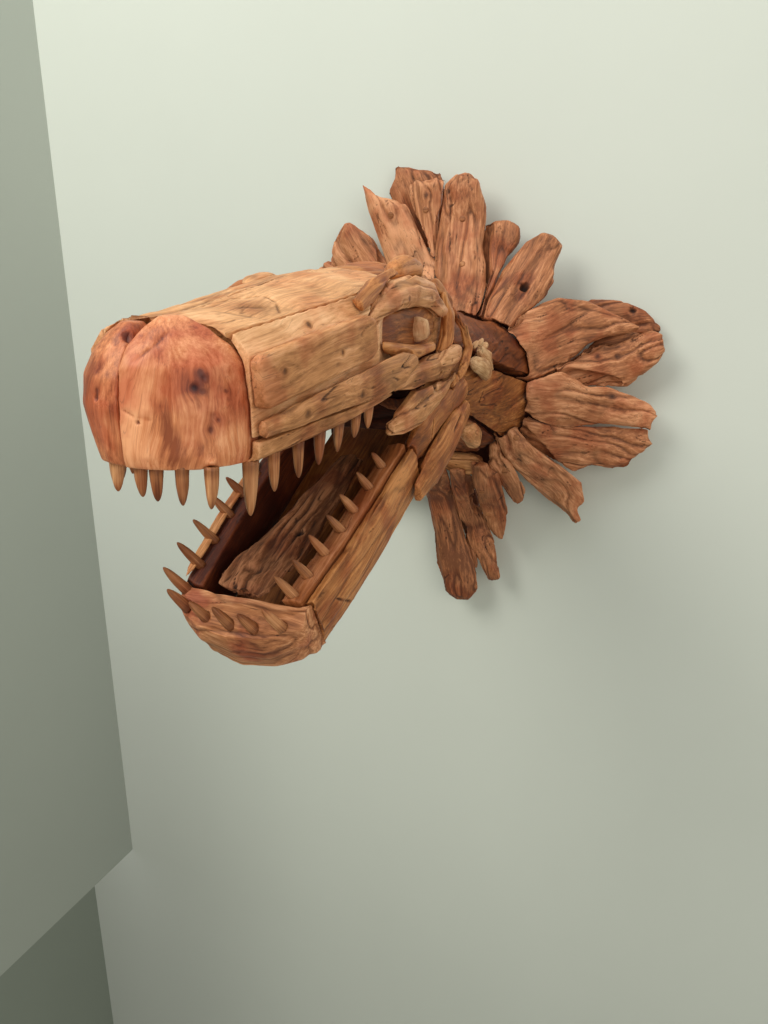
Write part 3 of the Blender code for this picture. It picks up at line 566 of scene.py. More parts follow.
def trim(obj: bpy.types.Object, outline: tuple[tuple[float, float], ...], edge: float) -> None:
    """Bring a petal's skin inside its outline, seen from the camera, and round its rim.

    Every point is carried along its line of sight to the plane y = PETAL_PLANE that the
    outline is drawn on. A point outside the outline goes to the nearest place on it, and
    so does one of a side face just inside it. A point of the front face within a rim's
    width of the outline sinks by a quarter circle. The petal's inner end, which its
    neighbours hide, is left as it is.

    Args:
        obj: the petal's even skin.
        outline: its corners (x, z) in mm.
        edge: the rim's width in mm.
    """
    mesh = obj.data
    points = vectors(mesh, "co") / MM
    facing = vectors(mesh, "normal")[:, 1]
    front = ramp_up(-facing, 0.0, 0.6)
    flank = ramp_up(np.abs(facing), 0.75, 0.35)
    eye = np.array(CAMERA_AT) / MM
    scale = ((PETAL_PLANE - eye[1]) / (points[:, 1] - eye[1]))[:, None]
    flat = eye[[0, 2]] + (points[:, [0, 2]] - eye[[0, 2]]) * scale
    corners = np.array(outline, float)
    gap = np.full(len(flat), np.inf)
    target = flat.copy()
    inside = np.zeros(len(flat), bool)
    for start, end in zip(corners, np.roll(corners, -1, axis=0), strict=True):
        way = end - start
        share = np.clip((flat - start) @ way / way.dot(way), 0, 1)
        foot = start + share[:, None] * way
        far = np.linalg.norm(flat - foot, axis=1)
        closer = far < gap
        gap[closer], target[closer] = far[closer], foot[closer]
        crossed = (start[1] > flat[:, 1]) != (end[1] > flat[:, 1])
        level = start[0] + (flat[:, 1] - start[1]) * way[0] / (way[1] or 1e-6)
        inside ^= crossed & (flat[:, 0] < level)
    inner = np.linalg.norm(corners - FRILL_MIDDLE, axis=1).min()
    outward = np.linalg.norm(flat - FRILL_MIDDLE, axis=1) - inner
    held = ramp_up(outward, FREE_TO, HELD_FROM)
    pull = np.where(inside, flank * ramp_up(gap, LEFT_FROM, DRAWN_TO), 1.0) * held
    move = pull[:, None] * (target - flat) / scale
    gap = np.where(inside, gap, 0.0)
    rim = 1 - np.clip(gap / edge, 0, 1)
    points[:, 1] += 0.8 * edge * (1 - np.sqrt(1 - rim**2)) * front * held
    points[:, [0, 2]] += move
    move_corners(mesh, points)


def vectors(mesh: bpy.types.Mesh, prop: str) -> Array:
    """Read the "co" or "normal" of every corner of a mesh."""
    values = np.empty(len(mesh.vertices) * 3, np.float32)
    mesh.vertices.foreach_get(prop, values)
    return values.reshape(-1, 3).astype(float)


def move_corners(mesh: bpy.types.Mesh, points: Array) -> None:
    """Move the corners of a mesh to points in mm."""
    mesh.vertices.foreach_set("co", (points * MM).astype(np.float32).ravel())
    mesh.update()


def link_new(name: str, data: bpy.types.ID) -> bpy.types.Object:
    """Put a new object with this data into the scene."""
    obj = bpy.data.objects.new(name, data)
    bpy.context.scene.collection.objects.link(obj)
    return obj


def modified(obj: bpy.types.Object) -> bpy.types.Mesh:
    """A new mesh of an object with its modifiers applied."""
    bpy.context.view_layer.update()
    graph = bpy.context.evaluated_depsgraph_get()
    return bpy.data.meshes.new_from_object(obj.evaluated_get(graph), depsgraph=graph)


def arris_wear_and_hollow_shade(mesh: bpy.types.Mesh, points: Array, normals: Array, voxel: float) -> Array:
    """How far each point stands out from its neighbours: worn arrises are lighter, and hollows
    darker as painted shade.

    Args:
        mesh: the mesh, for its edges.
        points: the carved points in mm.
        normals: the normals.
        voxel: the size of a face in mm.

    Returns:
        Values from -1 in a hollow to 1 on an arris.
    """
    ends = np.empty(len(mesh.edges) * 2, np.int32)
    mesh.edges.foreach_get("vertices", ends)
    one, two = ends.reshape(-1, 2).T
    count = len(points)
    links = np.bincount(one, minlength=count) + np.bincount(two, minlength=count)
    smooth = points.copy()
    for _ in range(RELIEF_PASSES):
        summed = np.empty_like(smooth)
        for axis in range(3):
            column = smooth[:, axis]
            summed[:, axis] = np.bincount(one, column[two], count)
            summed[:, axis] += np.bincount(two, column[one], count)
        smooth = 0.4 * smooth + 0.6 * summed / np.maximum(links, 1)[:, None]
    stand = ((points - smooth) * normals).sum(axis=1)
    return np.clip(stand / (RELIEF_SCALE * voxel), -1, 1)


def paint(mesh: bpy.types.Mesh, skin: Skin, wear: Array) -> None:
    """Leave the skin's numbers on the mesh as attributes for the material."""
    grain = mesh.attributes.new("grain", "FLOAT_VECTOR", "POINT")
    grain.data.foreach_set("vector", (skin.grain * MM).astype(np.float32).ravel())
    for name, values in (
        ("tone", skin.tone),
        ("hollow", np.clip(skin.hollow, 0, 1)),
        ("knot", np.clip(skin.knot, 0, 1)),
        ("wear", wear),
    ):
        layer = mesh.attributes.new(name, "FLOAT", "POINT")
        layer.data.foreach_set("value", values.astype(np.float32))


def finish_piece(obj: bpy.types.Object, wood: WoodFinish, replaces: str | None) -> None:
    """Dress a piece, ride it on the sculpture and log it."""
    obj.data.materials.clear()
    obj.data.materials.append(wood_material(wood))
    obj.data.shade_smooth()
    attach(obj, BODY)
    if replaces:
        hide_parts(replaces)
    LOG.info("%s: %d faces", obj.name, len(obj.data.polygons))


def carve(
    obj: bpy.types.Object, carving: Carving, seed: int, replaces: str | None = None
) -> None:
    """Cut an object's even skin along the grain, paint it and dress it.

    Args:
        obj: an object whose mesh is already fine and even.
        carving: how it is carved.
        seed: the piece's number.
        replaces: the CAD node that it stands for.
    """
    mesh = obj.data
    spots = MARKS.get(obj.name.removesuffix(CARVED), ())
    skin = Skin(vectors(mesh, "co") / MM, vectors(mesh, "normal"), spots)
    skin.lay_grain(carving, seed)
    skin.cut_grain(carving, seed)
    skin.cut_spots(seed)
    cut = skin.carved()
    move_corners(mesh, cut)
    paint(mesh, skin, arris_wear_and_hollow_shade(mesh, cut, vectors(mesh, "normal"), carving.voxel))
    thin_out(obj, THINNING)
    finish_piece(obj, carving.finish, replaces)


def thin_out(obj: bpy.types.Object, share: float) -> None:
    """Merge the faces of a carved skin where it is smooth.

    Args:
        obj: the carved piece, whose attributes are carried over.
        share: how many of its faces are kept.
    """
    thin = obj.modifiers.new("thin", "DECIMATE")
    thin.ratio = share
    made = modified(obj)
    obj.modifiers.clear()
    full, obj.data = obj.data, made
    bpy.data.meshes.remove(full)


@dataclass(frozen=True)
class Peg:
    """A whittled tooth: the middle of its foot, its tip, and its radius."""

    foot: Point
    tip: Point
    radius: float


def sink_pegs(points: Array, pegs: tuple[Peg, ...]) -> Array:
    """Push a solid's coarse pegs into it, leaving the holes that the fine pegs stand in.

    Args:
        points: the solid's corners in mm.
        pegs: its pegs.

    Returns:
        The moved corners.
    """
    points = points.copy()
    for peg in pegs:
        foot, way = np.array(peg.foot), np.array(peg.tip) - np.array(peg.foot)
        length = np.linalg.norm(way)
        way = way / length
        along = (points - foot) @ way
        side = points - foot - along[:, None] * way
        inside = (along > SINK_FROM * length) & (along < SINK_TO * length)
        inside &= np.linalg.norm(side, axis=1) < SINK_WIDTH * peg.radius
        points[inside] = foot + 0.8 * side[inside] + way * SINK_DEPTH
    return points


def even_skin(mesh: bpy.types.Mesh, name: str, carving: Carving) -> bpy.types.Object:
    """Give a solid an even skin of small faces, its arrises rounded.

    Args:
        mesh: the solid's mesh, which is used up.
        name: the new object's name.
        carving: for the size of its faces and the rounding.

    Returns:
        The new object.
    """
    joined = link_new("joined", mesh)
    weld = joined.modifiers.new("weld", "WELD")
    weld.merge_threshold = WELD_GAP
    skin = joined.modifiers.new("skin", "REMESH")
    skin.mode = "VOXEL"
    skin.voxel_size = carving.voxel * MM
    smooth = joined.modifiers.new("rounding", "SMOOTH")
    smooth.factor = 0.5
    smooth.iterations = carving.rounding
    made = modified(joined)
    bpy.data.objects.remove(joined)
    for layer in [a.name for a in made.attributes if not a.is_internal and not a.is_required]:
        made.attributes.remove(made.attributes[layer])
    return link_new(name, made)


def node_skin(node: str, carving: Carving, pegs: tuple[Peg, ...]) -> bpy.types.Object:
    """Copy a CAD solid with an even skin, its coarse pegs sunk.

    Args:
        node: the CAD node.
        carving: how it is carved.
        pegs: the pegs fused to it.

    Returns:
        The new object, named after the node.
    """
    mesh = bpy.data.objects[node].data.copy()
    if pegs:
        move_corners(mesh, sink_pegs(vectors(mesh, "co") / MM, pegs))
    return even_skin(mesh, node + CARVED, carving)


def tubes(name: str, sections: Array) -> bpy.types.Object:
    """Skin closed sections into one or more capped tubes.

    Args:
        name: the new object's name.
        sections: (tubes, rows, columns, 3) points in mm; each end closes on its middle.

    Returns:
        The object.
    """
    count, rows, columns, _ = sections.shape
    each = rows * columns + 2
    r, c = np.meshgrid(np.arange(rows - 1), np.arange(columns), indexing="ij")
    a = r * columns + c
    b = r * columns + (c + 1) % columns
    quads = np.stack([a, b, b + columns, a + columns], axis=-1).reshape(-1, 4)
    c = np.arange(columns)
    after = (c + 1) % columns
    last = (rows - 1) * columns
    foot = np.stack([np.full(columns, each - 2), after, c], axis=-1)
    tip = np.stack([np.full(columns, each - 1), last + c, last + after], axis=-1)
    points, faces = [], []
    for i in range(count):
        ends = sections[i, [0, -1]].mean(axis=1)
        points.append(np.concatenate([sections[i].reshape(-1, 3), ends]))
        faces += (quads + i * each).tolist() + (foot + i * each).tolist()
        faces += (tip + i * each).tolist()
    mesh = bpy.data.meshes.new(name)
    mesh.from_pydata((np.concatenate(points) * MM).tolist(), [], faces)
    mesh.update()
    return link_new(name, mesh)


def peg_row(name: str, pegs: tuple[Peg, ...], seed: int) -> None:
    """Whittle a row of teeth.

    A tooth is a circle carried from its foot to its tip; its radius follows
    (1 - s^4)^0.55 with a taper, knife facets flatten it, and it bends a little.

    Args:
        name: the row's name.
        pegs: where the teeth are.
        seed: which chips the knife took.
    """
    random = np.random.default_rng(seed)
    rows, columns = TOOTH_ROWS, TOOTH_COLUMNS
    share = 0.14 + 0.858 * np.sin(np.linspace(0.0, np.pi / 2, rows))
    angle = np.linspace(0, 2 * np.pi, columns, endpoint=False)
    sections = np.empty((len(pegs), rows, columns, 3))
    for i, peg in enumerate(pegs):
        foot, way = np.array(peg.foot), np.array(peg.tip) - np.array(peg.foot)
        along = way / np.linalg.norm(way)
        wide = np.cross(along, (0.3, 0.9, 0.1))
        wide /= np.linalg.norm(wide)
        deep = np.cross(along, wide)
        sides = random.integers(5, 8)
        turn = random.uniform(0, 6.3)
        facet = np.cos(np.pi / sides) / np.cos(
            (angle[None] + turn + 0.5 * share[:, None]) % (2 * np.pi / sides) - np.pi / sides
        )
        facet = 1 + 0.8 * (facet - 1)
        radius = 1.12 * peg.radius * (1 - share**4) ** 0.55 * (1.04 - 0.28 * share)
        reach = radius[:, None] * facet
        bend = random.uniform(-1, 1, 2) * 1.1
        middle = foot + share[:, None] * way
        middle = middle + (share**2)[:, None] * (bend[0] * wide + bend[1] * deep)
        sections[i] = (
            middle[:, None]
            + (reach * np.cos(angle))[..., None] * wide
            + (reach * np.sin(angle))[..., None] * deep
        )
    obj = tubes(name, sections)
    mesh = obj.data
    points = vectors(mesh, "co") / MM
    skin = Skin(points, vectors(mesh, "normal"))
    per = rows * columns + 2
    for i, peg in enumerate(pegs):
        part = slice(i * per, (i + 1) * per)
        foot, way = np.array(peg.foot), np.array(peg.tip) - np.array(peg.foot)
        along = way / np.linalg.norm(way)
        local = points[part] - foot
        reach = local @ along
        side = local - reach[:, None] * along
        skin.grain[part] = np.stack([reach, side[:, 0] + side[:, 1], side[:, 2]], axis=1)
        skin.grain[part] += i * 37.0
        reach = reach / np.linalg.norm(way)
        skin.tone[part] = random.uniform(-0.35, 0.35)
        skin.tone[part] -= 0.55 * ramp_up(reach, 0.7, 1.0) + 0.7 * ramp_up(reach, 0.42, 0.22)
    paint(mesh, skin, np.zeros(len(points)))
    finish_piece(obj, WHITTLED_PEG, None)


@dataclass(frozen=True)
class Offcut:
    """A small piece: an oval carried along stations (x, y, z, half width, half thickness)."""

    name: str
    carving: Carving
    across: Point
    stations: tuple[tuple[float, float, float, float, float], ...]


def lay_offcut(offcut: Offcut, seed: int) -> None:
    """Loft an offcut, give it an even skin and carve it.

    The oval is |c|^2.6 + |s|^2.6 = 1, and it shrinks at both ends by the square root of
    1 - |2s - 1|^5, so that the ends are round.

    Args:
        offcut: the piece.
        seed: its number.
    """
    rows, columns = OFFCUT_ROWS, OFFCUT_COLUMNS
    given = np.array(offcut.stations)
    share = np.linspace(0.0, 1.0, rows)
    places, numbers = share * (len(given) - 1), np.arange(len(given))
    path = np.stack([np.interp(places, numbers, column) for column in given.T], axis=1)
    along = np.gradient(path[:, :3], axis=0)
    along /= np.linalg.norm(along, axis=1)[:, None]
    across = np.array(offcut.across, float)
    wide = across - along * (along @ across)[:, None]
    wide /= np.linalg.norm(wide, axis=1)[:, None]
    deep = np.cross(along, wide)
    angle = np.linspace(0, 2 * np.pi, columns, endpoint=False)
    c, s = np.cos(angle), np.sin(angle)
    reach = (np.abs(c) ** OFFCUT_OVAL + np.abs(s) ** OFFCUT_OVAL) ** (-1 / OFFCUT_OVAL)
    taper = np.sqrt(1.02 - np.abs(2 * share - 1) ** 5)[:, None, None]
    sections = (
        path[:, None, :3]
        + taper * path[:, None, 3:4] * (c * reach)[:, None] * wide[:, None]
        + taper * path[:, None, 4:5] * (s * reach)[:, None] * deep[:, None]
    )
    blank = tubes("blank", sections[None])
    mesh = blank.data
    bpy.data.objects.remove(blank)
    carve(even_skin(mesh, offcut.name, offcut.carving), offcut.carving, seed)


@dataclass
class HeadPlan:
    """The sizes of the head that the pegs stand by, in mm, as the solids have them."""

    snout_bottom: float = 64.0
    peg_radius: float = 5.8
    head_y: tuple[float, ...] = (-940.0, -840.0, -740.0, -640.0, -480.0, -400.0)
    head_half: tuple[float, ...] = (81.0, 88.0, 97.0, 101.0, 99.0, 88.0)
    lip_y: tuple[float, ...] = (-940.0, -850.0, -760.0, -690.0)
    lip_z: tuple[float, ...] = (63.0, 66.0, 73.0, 83.0)
    side_pegs: tuple[tuple[float, float], ...] = (
        (-893.0, 33.0), (-855.0, 31.0), (-819.0, 29.0),
        (-785.0, 26.0), (-752.0, 21.0), (-725.0, 20.0),
    )
    near_front: tuple[Point, ...] = (
        (2.0, -974.0, 25.0), (20.0, -977.0, 26.0), (41.0, -972.0, 28.0), (63.0, -963.0, 31.0),
    )
    far_front: tuple[Point, ...] = (
        (-27.0, -968.0, 25.0), (-46.0, -950.0, 26.0), (-60.0, -928.0, 28.0),
    )
    corner: Point = (74.0, -925.0, 46.0)
    jaw_origin: tuple[float, float] = (-600.0, 20.0)
    jaw_drop: float = 26.6
    jaw_s: tuple[float, ...] = (-20.0, 150.0, 292.0)
    jaw_width: tuple[float, ...] = (98.0, 91.0, 76.0)
    jaw_skin: float = 12.0
    lean: float = 0.42
    jaw_near: tuple[tuple[float, float], ...] = (
        (258.0, 30.0), (230.0, 26.0), (196.0, 28.0), (160.0, 25.0),
        (128.0, 26.0), (88.0, 24.0), (50.0, 22.0),
    )
    jaw_far: tuple[tuple[float, float], ...] = (
        (238.0, 33.0), (200.0, 31.0), (158.0, 29.0), (122.0, 26.0), (84.0, 24.0), (46.0, 22.0),
    )
    jaw_front: tuple[Point, ...] = (
        (-70.0, 272.0, 36.0), (-58.0, 292.0, 28.0), (-29.0, 300.0, 24.0),
        (1.0, 303.0, 26.0), (27.0, 301.0, 22.0), (56.0, 294.0, 28.0),
    )

    def jaw_point(self, x: float, s: float, t: float) -> Point:
        """A point of the dropped jaw: s forward along it, t up from it."""
        a = math.radians(self.jaw_drop)
        y = self.jaw_origin[0] - s * math.cos(a) - t * math.sin(a)
        return x, y, self.jaw_origin[1] - s * math.sin(a) + t * math.cos(a)

    def jaw_half(self, s: float) -> float:
        """Half the jaw's width."""
        return float(np.interp(s, self.jaw_s, self.jaw_width))

    def hanging(
        self, x: float, y: float, root: float, length: float, rake: float = 2, stout: float = 1.0
    ) -> Peg:
        """A peg of the upper jaw, 9 mm of it in the wood above its root."""
        tip = (x, y - rake, root - length)
        return Peg((x, y, root + 9), tip, self.peg_radius * stout)

    def standing(
        self, x: float, s: float, sunk: float, length: float, low: float = 0, stout: float = 1.0
    ) -> Peg:
        """A peg of the lower jaw, which leans to the far side."""
        tip = self.jaw_point(x - self.lean * length, s + 3, 0.92 * length - low)
        return Peg(self.jaw_point(x + 4, s, -sunk), tip, self.peg_radius * stout)

    def upper_side(self, side: int) -> tuple[Peg, ...]:
        """The pegs in one side of the upper jaw."""
        pegs = []
        for y, length in self.side_pegs:
            x = side * (float(np.interp(y, self.head_y, self.head_half)) - 7)
            root = float(np.interp(y, self.lip_y, self.lip_z))
            pegs.append(self.hanging(x, y, root, length, 3, 0.78 + length / 170))
        return tuple(pegs)

    def upper_front(self, side: int) -> tuple[Peg, ...]:
        """The pegs under one front block."""
        row = self.near_front if side > 0 else self.far_front
        return tuple(self.hanging(x, y, self.snout_bottom, length) for x, y, length in row)

    def corner_peg(self) -> Peg:
        """The stout peg at the near corner of the mouth's front."""
        x, y, length = self.corner
        return self.hanging(x, y, self.snout_bottom, length, 4, 1.2)

    def lower_side(self, side: int) -> tuple[Peg, ...]:
        """The pegs along one side of the lower jaw."""
        inset = self.jaw_skin + 12 if side > 0 else 8
        return tuple(
            self.standing(
                side * (self.jaw_half(s) - inset), s, 12, length, stout=0.8 + length / 170
            )
            for s, length in (self.jaw_near if side > 0 else self.jaw_far)
        )

    def lower_front(self) -> tuple[Peg, ...]:
        """The pegs round the chin."""
        return tuple(self.standing(x, s, 15, length, 6) for x, s, length in self.jaw_front)


def knot(x: float, y: float, z: float, size: float, strength: float = 0.9) -> Spot:
    """A knot of this radius."""
    return Spot(Mark.KNOT, (x, y, z), size, strength)


def pit(x: float, y: float, z: float, size: float, depth: float = 3.0) -> Spot:
    """A hole of this radius and depth."""
    return Spot(Mark.PIT, (x, y, z), size, depth)


def stain(x: float, y: float, z: float, size: float, tone: float) -> Spot:
    """A patch of this radius, lighter or darker."""
    return Spot(Mark.STAIN, (x, y, z), size, tone)


def split(start: Point, end: Point, width: float, depth: float) -> Spot:
    """An open crack."""
    return Spot(Mark.SPLIT, start, width, depth, end)


def crease(start: Point, end: Point, width: float, depth: float) -> Spot:
    """A soft valley."""
    return Spot(Mark.CREASE, start, width, depth, end)


# The marks that the photo shows on the pieces, at points (x, y, z) of the frame in mm.
MARKS: dict[str, tuple[Spot, ...]] = {
    "snout_block_near": (
        knot(60, -965, 142, 3.5, 0.8), knot(62, -963, 137, 3.5, 0.8),
        knot(56, -969, 130, 4.5, 1.0), knot(61, -966, 127, 3.5, 0.8),
        knot(73, -950, 126, 3.5, 0.7), knot(74, -949, 120, 2.5, 0.6), knot(68, -957, 104, 3, 0.4),
        knot(64, -962, 97, 3.5, 0.4), stain(60, -966, 134, 11, -0.5),
        stain(30, -975, 160, 16, -0.35), stain(50, -966, 160, 16, 0.5),
        stain(70, -953, 150, 14, 0.25), stain(9, -987, 120, 18, 0.45),
        stain(6, -989, 82, 20, 0.45), stain(26, -985, 132, 13, 0.2),
        stain(52, -973, 112, 14, 0.35), stain(33, -983, 118, 5, -0.8),
        stain(36, -982, 108, 5.5, -1.1), stain(37, -982, 97, 6, -1.2),
        stain(40, -981, 87, 7, -1.0), stain(43, -980, 76, 9, -0.9), stain(60, -967, 84, 10, -0.5),
        stain(76, -943, 112, 12, -0.6), stain(52, -974, 90, 7, 0.6), stain(69, -958, 86, 6, 0.8),
        stain(22, -986, 100, 8, -0.3), pit(14, -988, 103, 1.6, 2.0),
        crease((36, -962, 176), (24, -975, 160), 2.0, 1.4),
        crease((24, -975, 160), (8, -984, 148), 2.0, 1.2),
        crease((20, -958, 179), (8, -972, 163), 1.8, 1.0), stain(22, -966, 170, 8, -0.5),
        stain(10, -981, 152, 8, 0.5), crease((-1, -988, 113), (12, -987, 107), 1.3, 1.1),
        crease((12, -987, 107), (26, -985, 106), 1.3, 1.0),
        crease((56, -970, 134), (60, -968, 112), 4.0, 0.7),
        crease((66, -960, 112), (64, -963, 92), 4.0, 0.8),
    ),
    "snout_block_far": (
        pit(-9, -962, 167, 5, 6), stain(-9, -962, 167, 8, -1.5), knot(-28, -984, 125, 3.5, 0.6),
        stain(-28, -984, 125, 9, 0.6), stain(-23, -975, 153, 9, 0.5),
        stain(-30, -985, 95, 14, 0.5), stain(-9, -988, 110, 8, -0.5),
        stain(-40, -975, 140, 14, -0.3), pit(-29, -984, 119, 2.5, 1.6),
        crease((-23, -980, 150), (-33, -980, 138), 3, 1.2),
        crease((-14, -988, 128), (-14, -987, 84), 2.6, 1.2),
    ),
    "top_plank_near": (
        crease((10, -880, 188), (8, -846, 193), 2.2, 1.8),
        crease((8, -846, 193), (27, -820, 196), 2.2, 2.2),
        crease((27, -820, 196), (48, -831, 190), 2.2, 2.0),
        crease((48, -831, 190), (66, -855, 181), 2.2, 1.8),
        crease((30, -872, 187), (50, -850, 187), 6, 1.6),
        crease((24, -896, 183), (60, -880, 180), 5, 1.2), stain(44, -858, 187, 22, -0.75),
        stain(30, -915, 182, 18, 0.6), stain(51, -763, 200, 10, -0.6),
    ),
    "top_plank_far": (
        crease((-24, -905, 183), (-14, -800, 202), 6, 4), stain(-30, -925, 178, 30, -0.2),
    ),
    "side_board_near": (
        knot(84, -836, 170, 3.5, 0.9), stain(84, -925, 150, 16, 0.4),
        stain(86, -612, 140, 24, -1.3), stain(86, -575, 152, 26, -1.5),
        stain(86, -640, 152, 12, -0.8), stain(84, -525, 145, 24, -1.5),
        split((80, -918, 120), (80, -922, 98), 1.0, 2.0),
    ),
    "cheek_plate_near": (
        knot(97, -900, 137, 3, 0.9), knot(104, -808, 144, 3, 0.8), knot(102, -862, 122, 2.5, 0.7),
        stain(96, -925, 132, 16, 0.5), crease((99, -915, 128), (106, -780, 152), 3, 0.6),
    ),
    "lower_plank_near": (
        knot(100, -868, 97, 3.5, 0.9), knot(108, -772, 99, 3.5, 0.9),
        crease((100, -880, 92), (108, -730, 104), 3, 1.6),
    ),
    "lip_plank_near": (stain(88, -800, 66, 60, -0.5),),
    "crown": (stain(40, -450, 215, 30, -0.8),),
    "brow_arch_near": (
        pit(104, -668, 178, 3, 4), pit(106, -640, 176, 3.5, 5), knot(110, -620, 196, 4, 0.8),
        knot(108, -650, 186, 3, 0.7), knot(108, -575, 186, 3, 0.7),
        crease((103, -700, 180), (107, -560, 190), 4, 2), stain(104, -560, 190, 18, -0.5),
        stain(106, -690, 176, 14, -0.6),
    ),
    "eye_peg_near": (stain(108, -585, 152, 6, -0.3),),
    "cheek_slab_near": (
        pit(108, -540, 92, 5, 6), stain(108, -540, 92, 14, -0.8), stain(106, -640, 104, 20, 0.3),
    ),
    "cheek_root_near": (
        pit(104, -560, 80, 6, 6), stain(104, -600, 82, 22, -0.9), stain(104, -640, 50, 14, 0.5),
    ),
    "hinge_plank_near": (
        split((112, -505, 14), (110, -462, 32), 2.2, 7), stain(110, -470, 30, 16, 0.9),
        stain(108, -590, -34, 22, -0.3),
    ),
    "hinge_root_near": (
        split((101, -540, 58), (100, -556, 6), 1.0, 3), stain(98, -590, 12, 22, -0.5),
    ),
    "chin_block": (
        stain(-30, -873, -118, 26, -0.3), stain(30, -873, -118, 26, -0.3),
        stain(0, -873, -120, 26, -0.2), stain(-20, -880, -165, 22, 0.5),
        stain(50, -868, -160, 20, -0.4),
    ),
    "jaw_side_near": (
        split((79, -748, -133), (84, -790, -112), 1.4, 2.5), stain(96, -650, -20, 40, 0.5),
        stain(84, -850, -140, 50, -0.4),
    ),
    "tongue_root": (
        pit(11, -741, -59, 6, 5), stain(0, -825, -85, 42, 0.6), stain(-6, -700, -40, 40, 0.45),
        crease((-20, -812, -84), (16, -796, -72), 7, 5),
    ),
    "neck_root_near_upper": (crease((100, -330, 60), (98, -160, 140), 4, 1.5),),
    "neck_root_near_lower": (split((92, -310, 60), (84, -290, -14), 2.0, 6),),
    "petal_hooked_log": (pit(102, -116, 192, 7, 11), stain(102, -116, 192, 13, -0.8)),
    "petal_right_upper_leaf": (
        crease((150, -100, 170), (262, -60, 142), 5, 3),
        crease((110, -120, 108), (200, -90, 128), 6, 3),
    ),
    "petal_right_upper_low": (knot(226, -77, 77, 4), knot(257, -62, 77, 3.5)),
    "petal_right_fold_upper": (
        knot(256, -76, 10, 4), crease((120, -120, 14), (300, -60, -8), 6, 3),
    ),
    "petal_right_fold_lower": (crease((120, -110, -40), (300, -60, -78), 6, 3),),
    "petal_right_back_board": (pit(272, -35, 153, 6, 6),),
    "petal_top_knotty": (knot(-97, -70, 345, 5, 0.8), pit(-90, -72, 352, 3, 3)),
    "petal_top_tall": (crease((-40, -80, 360), (-44, -90, 230), 5, 2.5),),
    "petal_left_pointed": (crease((-150, -80, 320), (-120, -90, 230), 6, 1.5),),
    "cheek_slab_pale": (pit(111, -520, 108, 3, 4),),
}


@dataclass
class Assembly:
    """Some of the sculpture's solids with the way that each is carved."""

    plan: HeadPlan
    seed: int

    def carvings(self) -> dict[str, Carving]:
        """The carving of each CAD node of the assembly."""
        return {}

    def pegs(self) -> dict[str, tuple[Peg, ...]]:
        """The pegs fused to a node, by its name."""
        return {}

    def offcuts(self) -> tuple[Offcut, ...]:
        """Small pieces laid on the solids."""
        return ()

    def extras(self) -> None:
        """Pieces that the solids don't have."""

    def build(self) -> None:
        """Carve every solid, then stand the pegs in their holes."""
        pegs = self.pegs()
        for number, (name, carving) in enumerate(self.carvings().items()):
            obj = node_skin(name, carving, pegs.get(name, ()))
            if name in OUTLINES:
                trim(obj, OUTLINES[name], RIM)
                mesh = obj.data
                bpy.data.objects.remove(obj)
                obj = even_skin(mesh, name + CARVED, carving)
            carve(obj, carving, self.seed + 31 * number, name)
        for number, (name, row) in enumerate(pegs.items()):
            peg_row(f"pegs_{name}", row, self.seed + number)
        for number, offcut in enumerate(self.offcuts()):
            lay_offcut(offcut, self.seed + 500 + 17 * number)
        self.extras()


